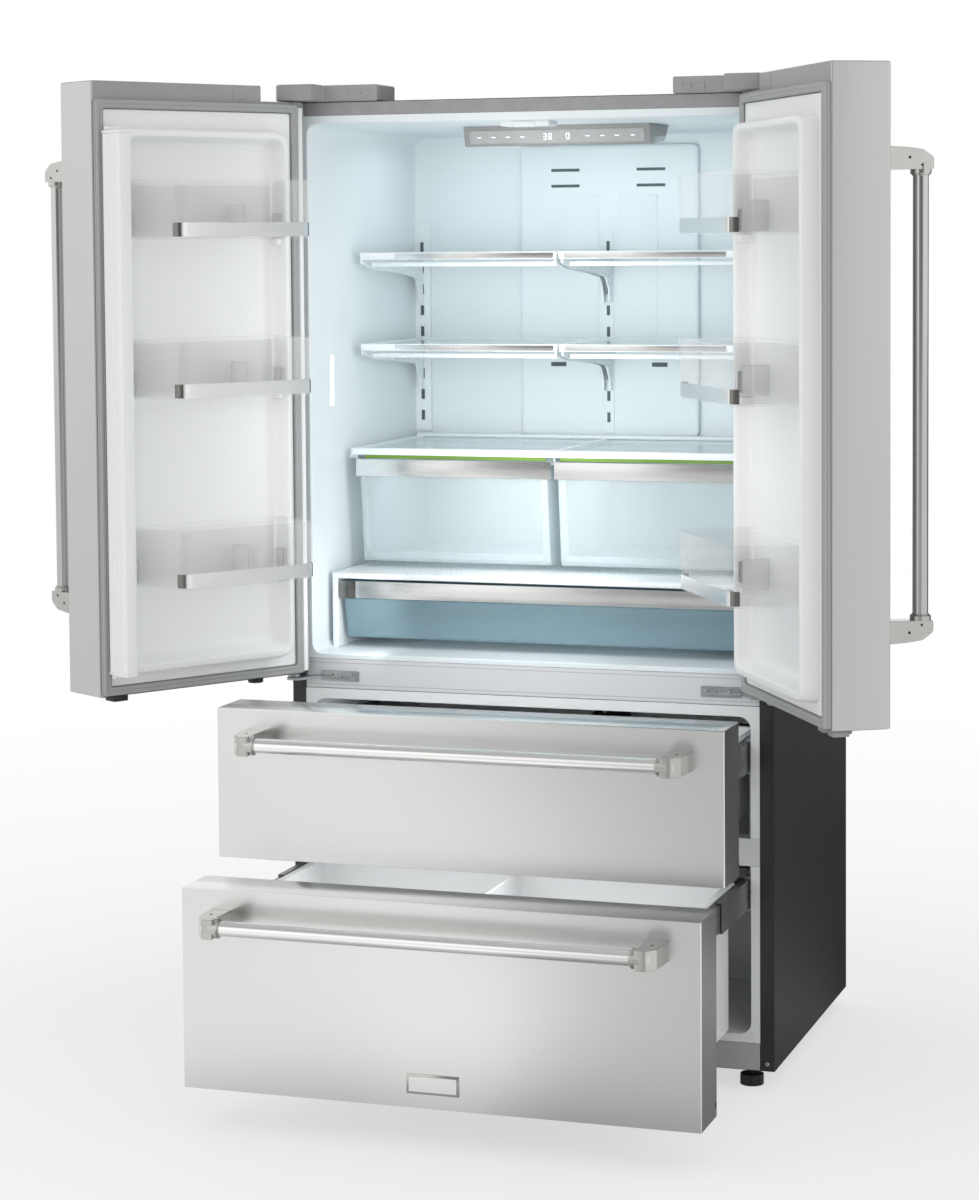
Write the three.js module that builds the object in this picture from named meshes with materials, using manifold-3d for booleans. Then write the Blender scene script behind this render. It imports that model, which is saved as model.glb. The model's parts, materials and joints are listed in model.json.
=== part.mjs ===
// French door refrigerator: two hinged doors over two telescopic freezer drawers.
// Millimetres. +Z up, +Y towards the back, origin on the floor under the centre of the outline.
// Cabinet coordinates used while building: X = 0 on the centre line, Y = 0 on the front flange.
// Door coordinates: origin on the hinge pin, +X along the door, +Y towards the cabinet when shut.
import * as THREE from 'three';
import { mergeVertices } from 'three/addons/utils/BufferGeometryUtils.js';
import Module from 'manifold-3d';

const wasm = await Module();
wasm.setup();

// ---- driving dimensions: cabinet ----
const caseWidth = 908;
const caseDepth = 628;
const caseTop = 1755;
const caseBottom = 32;
const frontStrip = 26; // painted edge of the case, seen around the openings
const openingLip = 16; // white liner flange between that edge and the cavity
const linerSheet = 2.7;
const backSheet = 1.2;
const backRib = 2.5; // pressed ribs of the rear sheet
const rearInsulation = 72; // foam behind the cavities
const cavityRadius = 22;
const floorRadius = 12; // smaller corners where the fresh food side walls meet the floor
const freshFloorRise = 10; // cavity floor above the centre rail
const freshCeilingDrop = 41; // foam above the cavity
const railTop = 736;
const railBottom = 681;
const railDepth = 38;
const freezerCeilingDrop = 19; // below the centre rail
const freezerFloor = 96;
const freezerFlangeFoot = 81;
const stepLid = 22; // insulation over the machine room, inside the freezer
const stepWall = 40; // insulation in front of and above the machine room
const machineDepth = 190;
const machineHeight = 238;
const machineSideWall = 24;
const machineFloor = 12;

// ---- driving dimensions: clearances ----
const seat = 0.3; // between pieces that touch or are fastened together
const slideGap = 0.35; // between telescopic members
const pinClear = 0.1; // around hinge pins and shafts

// ---- driving dimensions: doors ----
const hingeInset = 17; // pin to the case side
const hingeY = -36;
const doorThickness = 100;
const doorGap = 12; // compressed gasket between door and flange
const doorMeeting = 7; // gap between the two doors
const doorLap = 23; // door's lower edge below the rail's top
const doorRise = 26; // door's upper edge above the case
const doorEdgeRadius = 7;
const doorRestAngle = THREE.MathUtils.degToRad(121.7);
const capStepLength = 93; // lowered part of the top cap over the hinge
const capStepDrop = 29;
const gasketWidth = 16;
const gasketMargin = 3; // from the door's free edge, top and bottom
const gasketHeadDrop = 32; // seal's upper edge below the door's
const gasketHingeInset = 18; // from the hinge edge, so the seal clears the flange as it swings
const dikeHeight = 38; // raised rim of the door liner above the door's back
const dikeHingeInset = 57;
const dikeFreeInset = 39.5;
const dikeRidge = 13;
const dikeFootRise = 39; // above the door's lower edge
const dikeHeadDrop = 81; // below the door's upper edge
const linerFlangeSheet = 6;
const binBottoms = [1508, 1232, 906];
const binHeight = 102;
const binReach = 110; // how far a bin stands proud of the rim
const binTaper = 20;
const binWall = 2.6;
const flipperWidth = 56;
const flipperThickness = 24;
const flipperFootRise = 3; // above the rim's foot
const flipperHeadDrop = 5; // below the rim's head
const flipperPinRadius = 3;
const flipperEar = 6.5;

// ---- driving dimensions: hinges ----
const hingePinRadius = 6;
const hingePinLength = 19;
const topPlateThickness = 4;
const coverHeight = 30;
const coverDepth = 92;
const coverArmReach = 28; // forward of the pin
const centerArmDrop = 13; // below the door's lower edge
const centerArmThickness = 5;

// ---- driving dimensions: handles ----
const handleLength = 799;
const handleBarRadius = 13;
const handleStandOff = 62;
const handleWidth = 35;
const handleCollarRadius = 17;
const doorHandleInset = 31.5; // bar centre from the door's free edge
const doorHandleFoot = 848;
const handleArmHeight = 36;
const handleCollarLength = 45;

// ---- driving dimensions: freezer drawers ----
const drawerReveal = 2; // case side to the end of a drawer front
const upperFront = { bottom: 434, top: 696, handle: 644 };
const lowerFront = { bottom: 70.5, top: 414, handle: 364 };
const upperPull = 242;
const lowerPull = 400;
const crossbarTop = 446;
const crossbarBottom = 397;
const crossbarDepth = 48;
const slideLength = 440;
const slideHeight = 60;
const slideSheet = 3;
const slideNest = 12; // depth of each telescopic channel
const slideLedge = 10; // inner member beyond the channels, which carries the basket
const upperSlideZ = 590;
const lowerSlideZ = 346;
const basketWall = 3;
const upperBasketFloor = 470;
const lowerBasketFloor = 112;
const basketRim = 4;
const upperBasketDepth = 405;
const basketRearClear = 14;

// ---- driving dimensions: fresh food interior ----
const standardWidth = 34;
const standardDepth = 8;
const standardFoot = 1122;
const standardHead = 1535;
const standardInset = 22; // bar's centre line to the cavity wall
const centerStandardWidth = 22;
const slotPitch = 42;
const slotHeight = 20;
const slotWidth = 7;
const slotDepth = 5;
const ductHalfWidth = 181;
const ductHeadDrop = 28; // below the ceiling
const ductVentDrops = [79, 48]; // upper vents below the duct's head
const ductLowVentFoot = 1252;
const ductVentHeight = 10;
const ductDepth = 14;
const shelfFront = 200;
const shelfTops = [1480, 1308];
const shelfPlate = 7;
const shelfTrim = 14;
const bracketSheet = 4;
const bracketDrop = 96;
const centerBracketX = 6.5;
const panelHalfWidth = 180;
const panelFront = 196;
const panelDrop = 38;
const crisperShelfFront = 160;
const crisperShelfTop = 1113;
const crisperShelfThickness = 13;
const crisperFloor = 898;
const crisperRimDrop = 20; // below the top of the glass cover
const crisperWall = 2.6;
const crisperRake = 18; // the front leans back towards the floor
const deliShelfFront = 68;
const deliShelfTop = 887;
const deliShelfThickness = 11;
const deliSide = 12;
const deliFloor = 764;
const deliRimDrop = 15; // below the top of its shelf
const sideReveal = 12; // liner wall to shelves and shelf ends
const guideHalfWidth = 46;
const guideDepth = 52;
const guideDrop = 9;

// ---- driving dimensions: machine room, fans, feet ----
const compressorRadius = 74;
const compressorHeight = 178;
const compressorX = 205;
const condenserX = -150;
const condenserHalfWidth = 90;
const condenserHeight = 165;
const condenserDepth = 54;
const condenserFanRadius = 62;
const evaporatorHalfWidth = 250;
const evaporatorHeight = 190;
const evaporatorDepth = 52;
const evaporatorFloor = 318;
const evaporatorFanRadius = 50;
const fanShaftRadius = 4;
const fanHubRadius = 16;
const fanDepth = 16;
const footInset = 48; // foot's centre line to the case side
const footY = 30;
const footRadius = 21;
const footKnob = 19;
const footStemRadius = 5;
const footStemTop = 74;
const rollerRadius = 15;
const rollerWidth = 22;
const rollerInset = 74;
const rollerRearInset = 68;
const rollerAxleRadius = 4;
const forkSheet = 4;

// ---- derived sizes ----
const half = caseWidth / 2;
const flangeHalf = half - frontStrip;
const cavityHalf = flangeHalf - openingLip;
const flangeTop = caseTop - frontStrip + 1;
const cavityDepth = caseDepth - rearInsulation;
const freshFloor = railTop + freshFloorRise;
const freshCeiling = caseTop - freshCeilingDrop;
const freezerCeiling = railBottom - freezerCeilingDrop;
const stepHeight = caseBottom + machineHeight + stepLid; // top of the step over the machine room
const hingeX = half - hingeInset;
const doorBottom = railTop - doorLap;
const doorTop = caseTop + doorRise;
const dikeBottom = doorBottom + dikeFootRise;
const dikeTop = doorTop - dikeHeadDrop;
const flipperFoot = dikeBottom + flipperFootRise;
const flipperHead = dikeTop - flipperHeadDrop;
const coverTop = caseTop + coverHeight;
const centerArmBottom = doorBottom - centerArmDrop;
const drawerWidth = caseWidth - 2 * drawerReveal;
const standardX = cavityHalf - standardInset;
const ductHead = freshCeiling - ductHeadDrop;
const crisperRim = crisperShelfTop - crisperRimDrop;
const deliRim = deliShelfTop - deliRimDrop;
const footX = half - footInset;
const rollerX = half - rollerInset;
const rollerY = caseDepth - rollerRearInset;
const doorBack = -doorGap - hingeY;
const doorFace = doorBack - doorThickness;
const hingeEdge = hingeX - half;
const freeEdge = hingeX - doorMeeting / 2;
const capStepZ = doorTop - capStepDrop;
const stepFront = caseDepth - machineDepth - stepWall;
const handleReach = handleStandOff + handleCollarRadius;
const drawerBack = -doorGap;
const drawerFace = drawerBack - doorThickness;
const outlineFront = drawerFace - seat - lowerPull - handleReach;
const outlineBack = caseDepth + backRib;
const round = 24; // segments of a full circle on round pieces

// ---- materials ----
const finish = (color, roughness, metalness) =>
  new THREE.MeshStandardMaterial({ color, roughness, metalness });
const charcoal = finish(0x3a3a3b, 0.5, 0.3);
const stainless = finish(0xc3c4c4, 0.34, 0.9);
const polished = finish(0xd6d6d4, 0.18, 1);
const zinc = finish(0xaeb2b3, 0.4, 0.85);
const whitePlastic = finish(0xf1f4f5, 0.4, 0);
const greyPlastic = finish(0x8c8f8e, 0.5, 0);
const clearPlastic = finish(0xdfe9ec, 0.12, 0);
const glassShelf = finish(0xd4eaee, 0.08, 0);
const gasketRubber = finish(0xa9abac, 0.7, 0);
const blackPlastic = finish(0x1b1b1c, 0.5, 0);
const blackSteel = finish(0x232426, 0.45, 0.4);
const aluminiumFin = finish(0xc9cccd, 0.45, 0.9);
const whiteSteel = finish(0xe4e7e8, 0.4, 0.1);

// ---- solids ----
function box(x0, x1, y0, y1, z0, z1) {
  const shape = new THREE.BoxGeometry(x1 - x0, y1 - y0, z1 - z0);
  return shape.translate((x0 + x1) / 2, (y0 + y1) / 2, (z0 + z1) / 2);
}

// A box whose two ends along Y have their own rectangles [x0, x1, z0, z1].
function taperedBox(y0, near, y1, far) {
  const shape = new THREE.BoxGeometry(2, 2, 2);
  const p = shape.attributes.position;
  for (let i = 0; i < p.count; i++) {
    const end = p.getY(i) < 0 ? near : far;
    p.setXYZ(i, p.getX(i) < 0 ? end[0] : end[1], p.getY(i) < 0 ? y0 : y1, p.getZ(i) < 0 ? end[2] : end[3]);
  }
  return shape;
}

function outline(points) {
  return new THREE.Shape(points.map(([x, y]) => new THREE.Vector2(x, y)));
}

// A rectangle with rounded corners, radii given from the low-low corner anticlockwise.
function roundedRect(x0, x1, y0, y1, radii) {
  const [a, b, c, d] = radii;
  const shape = new THREE.Shape();
  shape.moveTo(x0 + a, y0).lineTo(x1 - b, y0);
  if (b) shape.absarc(x1 - b, y0 + b, b, -Math.PI / 2, 0);
  shape.lineTo(x1, y1 - c);
  if (c) shape.absarc(x1 - c, y1 - c, c, 0, Math.PI / 2);
  shape.lineTo(x0 + d, y1);
  if (d) shape.absarc(x0 + d, y1 - d, d, Math.PI / 2, Math.PI);
  shape.lineTo(x0, y0 + a);
  if (a) shape.absarc(x0 + a, y0 + a, a, Math.PI, 1.5 * Math.PI);
  return shape;
}

const extruded = (shape, depth) =>
  new THREE.ExtrudeGeometry(shape, { depth, bevelEnabled: false, curveSegments: 5 });
const prismZ = (shape, z0, z1) => extruded(shape, z1 - z0).translate(0, 0, z0);
// The outline's axes are X and Z.
const prismY = (shape, y0, y1) =>
  extruded(shape, y1 - y0).rotateX(Math.PI / 2).translate(0, y1, 0);
// The outline's axes are Y and Z.
function prismX(shape, x0, x1) {
  const turn = new THREE.Matrix4().makeBasis(
    new THREE.Vector3(0, 1, 0), new THREE.Vector3(0, 0, 1), new THREE.Vector3(1, 0, 0));
  return extruded(shape, x1 - x0).applyMatrix4(turn).translate(x0, 0, 0);
}

const rodZ = (x, y, z0, z1, radius, sides = round) =>
  new THREE.CylinderGeometry(radius, radius, z1 - z0, sides)
    .rotateX(Math.PI / 2).translate(x, y, (z0 + z1) / 2);
const rodY = (x, z, y0, y1, radius, sides = round) =>
  new THREE.CylinderGeometry(radius, radius, y1 - y0, sides).translate(x, (y0 + y1) / 2, z);
const rodX = (y, z, x0, x1, radius, sides = round) =>
  new THREE.CylinderGeometry(radius, radius, x1 - x0, sides)
    .rotateZ(Math.PI / 2).translate((x0 + x1) / 2, y, z);

// ---- joining and cutting ----
function solid(geometry) {
  const bare = geometry.clone();
  bare.deleteAttribute('normal');
  bare.deleteAttribute('uv');
  const merged = mergeVertices(bare, 1e-4);
  return new wasm.Manifold(new wasm.Mesh({
    numProp: 3,
    vertProperties: new Float32Array(merged.attributes.position.array),
    triVerts: new Uint32Array(merged.index.array),
  }));
}

function surface(manifold) {
  const { vertProperties, triVerts } = manifold.getMesh();
  const shape = new THREE.BufferGeometry();
  shape.setAttribute('position', new THREE.BufferAttribute(vertProperties, 3));
  shape.setIndex(new THREE.BufferAttribute(triVerts, 1));
  return shape;
}

const join = (...pieces) => surface(pieces.map(solid).reduce((a, b) => a.add(b)));
const cut = (body, ...tools) =>
  surface(tools.map(solid).reduce((left, tool) => left.subtract(tool), solid(body)));

function piece(name, geometry, material) {
  const mesh = new THREE.Mesh(geometry, material.clone());
  mesh.name = name;
  return mesh;
}

// ---- cabinet ----
function freezerTub(grow, y0) {
  const x = cavityHalf + grow;
  const r = cavityRadius + grow;
  const deep = roundedRect(-x, x, stepHeight - grow, freezerCeiling + grow, [r, r, r, r]);
  const low = roundedRect(-x, x, freezerFloor - grow, freezerCeiling + grow, [r, r, r, r]);
  return join(
    prismY(deep, y0, cavityDepth + grow),
    prismY(low, y0, stepFront - stepWall / 2 + grow));
}

function freshTub(grow, y0) {
  const x = cavityHalf + grow;
  const r = cavityRadius + grow;
  const low = floorRadius + grow;
  const section = roundedRect(-x, x, freshFloor - grow, freshCeiling + grow, [low, low, r, r]);
  return prismY(section, y0, cavityDepth + grow);
}

function rollerFork(side) {
  const x = side * rollerX;
  const inner = rollerWidth / 2 + slideGap;
  const cheek = (from) =>
    box(x + from, x + from + forkSheet, rollerY - 12, rollerY + 12, rollerRadius - 7, caseBottom + 1);
  return join(
    cheek(inner),
    cheek(-inner - forkSheet),
    rodX(rollerY, rollerRadius, x - inner - 1, x + inner + 1, rollerAxleRadius));
}

function cabinetBody() {
  const rear = caseDepth - backSheet - seat;
  const shellGrow = linerSheet + seat;
  const pocket = linerSheet + seat;
  const machineHalf = half - machineSideWall;
  const body = cut(
    box(-half, half, 0, rear, caseBottom, caseTop),
    box(-flangeHalf - seat, flangeHalf + seat, -1, pocket, freezerFlangeFoot - seat, flangeTop + seat),
    box(-flangeHalf - seat, flangeHalf + seat, -1, railDepth + seat, railBottom, railTop),
    freshTub(shellGrow, -1),
    freezerTub(shellGrow, -1),
    box(-machineHalf, machineHalf, caseDepth - machineDepth, caseDepth + 1,
      caseBottom + machineFloor, caseBottom + machineHeight),
    ...[-1, 1].map((side) =>
      rodZ(side * footX, footY, caseBottom - 1, footStemTop + seat, footStemRadius + pinClear)));
  return piece('cabinet_body', join(body, rollerFork(-1), rollerFork(1)), charcoal);
}

function backPanel() {
  const ribs = [-300, -100, 100, 300].map((x) =>
    box(x - 12, x + 12, caseDepth - backSheet, caseDepth + backRib,
      caseBottom + machineHeight + 60, caseTop - 60));
  const sheet = box(-half + 1, half - 1, caseDepth - backSheet, caseDepth,
    caseBottom + machineHeight + 6, caseTop - 1);
  return piece('back_panel', join(sheet, ...ribs), zinc);
}

function rearCover() {
  const top = caseBottom + machineHeight + 5;
  const sheet = box(-half + 8, half - 8, caseDepth - backSheet, caseDepth, caseBottom + 3, top);
  const louvres = [];
  for (const x of [-330, -210, -90, 90, 210, 330])
    for (let row = 0; row < 6; row++) {
      const z = caseBottom + 55 + row * 28;
      louvres.push(box(x - 45, x + 45, caseDepth - 3, caseDepth + 3, z, z + 9));
    }
  return piece('rear_cover', cut(sheet, ...louvres), zinc);
}

function freshLiner() {
  const flange = box(-flangeHalf, flangeHalf, 0, linerSheet, railTop + seat, flangeTop);
  const ledge = (side, z) => {
    const inner = side * (cavityHalf - sideReveal - 6);
    const outer = side * (cavityHalf + 1);
    return box(Math.min(inner, outer), Math.max(inner, outer),
      crisperShelfFront + 30, cavityDepth - 30, z - 8, z);
  };
  const shelfSeat = crisperShelfTop - crisperShelfThickness - seat;
  const guide = box(-guideHalfWidth, guideHalfWidth, linerSheet + 3, linerSheet + 3 + guideDepth,
    freshCeiling - guideDrop, freshCeiling + 1);
  const tub = cut(join(flange, freshTub(linerSheet, 0)), freshTub(0, -1));
  return piece('fresh_liner', join(tub, ledge(-1, shelfSeat), ledge(1, shelfSeat), guide), whitePlastic);
}

function freezerLiner() {
  const flange = box(-flangeHalf, flangeHalf, 0, linerSheet, freezerFlangeFoot, railBottom - seat);
  const notch = box(-half, half, -1, linerSheet + 1, crossbarBottom - seat, crossbarTop + seat);
  const outside = join(cut(flange, notch), freezerTub(linerSheet, linerSheet - seat));
  return piece('freezer_liner', cut(outside, freezerTub(0, -1)), whitePlastic);
}

function centerRail() {
  const beam = box(-flangeHalf, flangeHalf, 0, railDepth, railBottom + seat, railTop - seat);
  return piece('center_rail', beam, whiteSteel);
}

// A channel open towards the centre line, as [x, z] points; side is -1 or 1.
function channelOutline(side, webX, nest, z, height) {
  const x = (v) => side * v;
  const low = z - height / 2;
  const high = z + height / 2;
  const points = [
    [x(webX), low], [x(webX), high], [x(webX - nest), high], [x(webX - nest), high - slideSheet],
    [x(webX - slideSheet), high - slideSheet], [x(webX - slideSheet), low + slideSheet],
    [x(webX - nest), low + slideSheet], [x(webX - nest), low],
  ];
  return outline(side > 0 ? points : points.reverse());
}

const fixedWeb = cavityHalf - 2 * seat;
const middleWeb = fixedWeb - slideSheet - slideGap;
const middleHeight = slideHeight - 2 * (slideSheet + slideGap);
const innerWeb = middleWeb - slideSheet - slideGap;
const innerHeight = middleHeight - 2 * (slideSheet + slideGap);
const slideStart = 6;

function freezerCrossbar() {
  const face = box(-flangeHalf, flangeHalf, 0, linerSheet - 2 * seat, crossbarBottom, crossbarTop);
  const beam = box(-fixedWeb, fixedWeb, 0, crossbarDepth, crossbarBottom + 2, crossbarTop - 2);
  const parts = [face, beam];
  for (const side of [-1, 1]) {
    for (const z of [upperSlideZ, lowerSlideZ])
      parts.push(prismY(channelOutline(side, fixedWeb, slideNest, z, slideHeight),
        slideStart, slideStart + slideLength));
    const strap = [side * (fixedWeb - slideSheet), side * fixedWeb].sort((a, b) => a - b);
    parts.push(box(strap[0], strap[1], slideStart, crossbarDepth,
      lowerSlideZ - slideHeight / 2, upperSlideZ + slideHeight / 2));
  }
  return piece('freezer_crossbar', join(...parts), whiteSteel);
}

// ---- hinges: side -1 is left, 1 is right; outlines are drawn for the right and mirrored ----
const mirrored = (side, points) =>
  outline(side > 0 ? points : points.map(([x, y]) => [-x, y]).reverse());

function topHinge(side, label) {
  const z0 = caseTop + seat;
  const plate = mirrored(side, [
    [hingeX - 12, hingeY - 12], [hingeX + 10, hingeY - 12], [hingeX + 12, hingeY],
    [half - 5, 12], [half - 5, coverDepth - 18], [hingeX - 125, coverDepth - 18],
    [hingeX - 125, 14], [hingeX - 40, 8]]);
  const pin = rodZ(side * hingeX, hingeY, capStepZ - hingePinLength, z0 + 1, hingePinRadius);
  return piece('top_hinge_' + label, join(prismZ(plate, z0, z0 + topPlateThickness), pin), zinc);
}

function hingeCover(side, label) {
  const lap = 5;
  const front = hingeY - coverArmReach;
  const shell = (grow, z0, z1) => prismZ(mirrored(side, [
    [hingeX - 55 - grow, front - grow], [hingeX + 8 + grow, front - grow],
    [half - 1 + grow, front + 12], [half - 1 + grow, coverDepth + grow],
    [hingeX - 161 - grow, coverDepth + grow], [hingeX - 161 - grow, -lap - grow],
    [hingeX - 55 - grow, -lap - grow]]), z0, z1);
  const wall = 2.5;
  const hollow = shell(-wall, caseTop - 1, coverTop - wall);
  return piece('hinge_cover_' + label,
    cut(shell(0, caseTop + seat, coverTop), hollow), greyPlastic);
}

function centerHinge(side, label) {
  const z1 = centerArmBottom + centerArmThickness;
  const arm = mirrored(side, [
    [hingeX - 12, hingeY - 13], [hingeX + 9, hingeY - 13], [hingeX + 13, hingeY],
    [hingeX + 11, -seat], [hingeX - 114, -seat], [hingeX - 114, -3], [hingeX - 42, -8]]);
  const flat = [side * (hingeX - 114), side * (hingeX - 40)].sort((a, b) => a - b);
  const plate = box(flat[0], flat[1], -3, -seat, centerArmBottom - 5, centerArmBottom + 14);
  const pin = rodZ(side * hingeX, hingeY, z1 - 1, doorBottom + hingePinLength - 4, hingePinRadius);
  const washer = rodZ(side * hingeX, hingeY, z1 - 1, doorBottom - seat, hingePinRadius + 5);
  return piece('center_hinge_' + label,
    join(prismZ(arm, centerArmBottom, z1), plate, washer, pin), zinc);
}

// ---- doors, in door coordinates ----
function doorPanel(label) {
  const r = doorEdgeRadius;
  const section = roundedRect(hingeEdge, freeEdge, doorFace, doorBack, [r, r, 1, 1]);
  const step = box(hingeEdge - 1, hingeEdge + capStepLength, doorFace - 1, doorBack + 1,
    capStepZ, doorTop + 1);
  const socket = hingePinRadius + pinClear;
  const closer = box(freeEdge - 62, freeEdge - 30, doorBack - 46, doorBack - 4,
    doorBottom - 11, doorBottom + 1);
  const body = cut(prismZ(section, doorBottom, doorTop), step,
    rodZ(0, 0, capStepZ - hingePinLength - 1, capStepZ + 1, socket),
    rodZ(0, 0, doorBottom - 1, doorBottom + hingePinLength - 3, socket));
  return piece(label + '_door_panel', join(body, closer), stainless);
}

const gasketOuter = {
  x0: hingeEdge + gasketHingeInset, x1: freeEdge - gasketMargin,
  z0: doorBottom + gasketMargin, z1: doorTop - gasketHeadDrop,
};

function doorGasket(label) {
  const { x0, x1, z0, z1 } = gasketOuter;
  const w = gasketWidth;
  const y0 = doorBack + seat;
  const y1 = doorBack + doorGap - seat;
  const ring = cut(
    box(x0, x1, y0, y1, z0, z1), box(x0 + w, x1 - w, y0 - 1, y1 + 1, z0 + w, z1 - w));
  return piece(label + '_door_gasket', ring, gasketRubber);
}

const dike = {
  x0: hingeEdge + dikeHingeInset, x1: freeEdge - dikeFreeInset,
  y0: doorBack + seat, y1: doorBack + dikeHeight,
};
const binBack = doorBack + linerFlangeSheet + seat;
const flipperAxis = {
  x: dike.x1 + 2 + flipperThickness - 5,
  y: doorBack + doorGap + 9,
};

function doorLiner(label, carriesFlipper) {
  const gap = gasketWidth + seat;
  const { x0, x1, z0, z1 } = gasketOuter;
  const flange = box(x0 + gap, x1 - gap, dike.y0, doorBack + linerFlangeSheet, z0 + gap, z1 - gap);
  const rim = cut(
    taperedBox(dike.y0, [dike.x0, dike.x1, dikeBottom, dikeTop],
      dike.y1, [dike.x0 + 3, dike.x1, dikeBottom + 3, dikeTop - 3]),
    taperedBox(doorBack + linerFlangeSheet,
      [dike.x0 + dikeRidge + 5, dike.x1 - dikeRidge - 5, dikeBottom + 26, dikeTop - 24],
      dike.y1 + 1, [dike.x0 + dikeRidge, dike.x1 - dikeRidge, dikeBottom + 18, dikeTop - 16]));
  const parts = [flange, rim];
  for (const z of binBottoms)
    for (const x of [dike.x0 + 8, dike.x1 - 8 - dikeRidge])
      parts.push(box(x, x + dikeRidge, doorBack + 2, dike.y1 - 6, z - 10, z - seat));
  if (carriesFlipper)
    for (const [low, high] of [
      [flipperFoot - seat - flipperEar, flipperFoot - seat],
      [flipperHead + seat, flipperHead + seat + flipperEar]])
      parts.push(cut(
        box(dike.x1 - 2, flipperAxis.x + 6, flipperAxis.y - 6.5, flipperAxis.y + 7, low, high),
        rodZ(flipperAxis.x, flipperAxis.y, low - 1, high + 1, flipperPinRadius + pinClear, 16)));
  return piece(label + '_door_liner', join(...parts), whitePlastic);
}

function flipperMullion() {
  const { x, y } = flipperAxis;
  const corner = 3;
  const x1 = x + 8;
  const x0 = x1 - flipperThickness;
  const bar = prismZ(outline([
    [x0, y - 6], [x1 - corner, y - 6], [x1, y - 6 + corner], [x1, y - 6 + flipperWidth],
    [x0, y - 6 + flipperWidth]]), flipperFoot, flipperHead);
  const grooves = [18, 30, 42].map((d) =>
    box(x + 6.5, x + 9, y - 6 + d, y - 3 + d, flipperFoot + 20, flipperHead - 20));
  const pins = rodZ(x, y, flipperFoot - flipperEar + 0.5, flipperHead + flipperEar - 0.5,
    flipperPinRadius, 16);
  return piece('flipper_mullion', join(cut(bar, ...grooves), pins), whitePlastic);
}

function binOutline(inset) {
  const x0 = dike.x0 + dikeRidge + 6 + inset;
  const x1 = dike.x1 - dikeRidge - 6 - inset;
  const y0 = binBack + inset;
  const y1 = dike.y1 + binReach - inset;
  const r = 16 - inset;
  const shape = new THREE.Shape();
  shape.moveTo(x0, y0).lineTo(x1, y0).lineTo(x1 - binTaper, y1 - r);
  shape.quadraticCurveTo(x1 - binTaper - 2, y1, x1 - binTaper - r, y1);
  shape.lineTo(x0 + binTaper / 2 + r, y1);
  shape.quadraticCurveTo(x0 + binTaper / 2 + 2, y1, x0 + binTaper / 2, y1 - r);
  return shape;
}

function doorBin(label, position, z) {
  const outer = prismZ(binOutline(0), z, z + binHeight);
  const inner = prismZ(binOutline(binWall), z + binWall + 1, z + binHeight + 1);
  return piece(label + '_bin_' + position, cut(outer, inner), clearPlastic);
}

// A handle along +Z from 0 to its length, fixed to a face at Y = 0 and standing off towards -Y.
function handleSolid() {
  const out = -handleStandOff - handleCollarRadius;
  const arm = new THREE.Shape();
  arm.moveTo(0, 0).lineTo(0, handleArmHeight);
  arm.lineTo(-handleStandOff + handleCollarRadius, handleArmHeight);
  arm.lineTo(-handleStandOff + handleCollarRadius, handleCollarLength);
  arm.lineTo(out, handleCollarLength).lineTo(out, 20);
  arm.quadraticCurveTo(out + 1, 10, -handleStandOff, 6);
  arm.quadraticCurveTo(-handleStandOff / 2, 1, 0, 0);
  const w = handleWidth / 2;
  const bracket = prismX(arm, -w, w);
  const far = bracket.clone().applyMatrix4(
    new THREE.Matrix4().makeRotationY(Math.PI)).translate(0, 0, handleLength);
  const bar = rodZ(0, -handleStandOff, 10, handleLength - 10, handleBarRadius);
  return join(bracket, far, bar);
}

function doorHandle(label) {
  const handle = piece(label + '_door_handle', handleSolid(), polished);
  handle.position.set(freeEdge - doorHandleInset, doorFace - seat, doorHandleFoot);
  return handle;
}

function hungDoor(side, label) {
  const door = new THREE.Group();
  door.position.set(side * hingeX, hingeY, 0);
  door.rotation.z = side * doorRestAngle;
  door.scale.x = -side;
  door.add(doorPanel(label), doorGasket(label), doorLiner(label, side < 0), doorHandle(label));
  ['upper', 'middle', 'lower'].forEach((position, i) =>
    door.add(doorBin(label, position, binBottoms[i])));
  if (side < 0) door.add(flipperMullion());
  return door;
}

// ---- freezer drawers, in closed cabinet coordinates ----
function drawerFront(label, front) {
  const w = drawerWidth / 2;
  const r = doorEdgeRadius;
  const section = roundedRect(-w, w, drawerFace, drawerBack, [r, r, 1, 1]);
  return piece(label + '_drawer_front', prismZ(section, front.bottom, front.top), stainless);
}

function drawerHandle(label, front) {
  const handle = piece(label + '_drawer_handle', handleSolid(), polished);
  handle.rotation.y = Math.PI / 2;
  handle.position.set(-handleLength / 2, drawerFace - seat, front.handle);
  return handle;
}

function drawerFrame(label, z) {
  const h = innerHeight / 2;
  const rail = (side) => {
    const x = [side * (innerWeb - slideNest - slideLedge), side * innerWeb].sort((a, b) => a - b);
    return box(x[0], x[1], drawerBack + seat, slideStart + slideLength - basketRearClear, z - h, z + h);
  };
  const plate = box(-innerWeb, innerWeb, drawerBack + seat, drawerBack + seat + slideSheet, z - h, z + h);
  return piece(label + '_drawer_frame', join(rail(-1), rail(1), plate), zinc);
}

function slideMiddle(label, z) {
  const rail = (side) => prismY(
    channelOutline(side, middleWeb, slideNest, z, middleHeight), slideStart, slideStart + slideLength);
  const rear = slideStart + slideLength;
  const tie = box(-middleWeb, middleWeb, rear - 9, rear, z - 6, z + 6);
  return piece(label + '_slide_middle', join(rail(-1), rail(1), tie), zinc);
}

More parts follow.
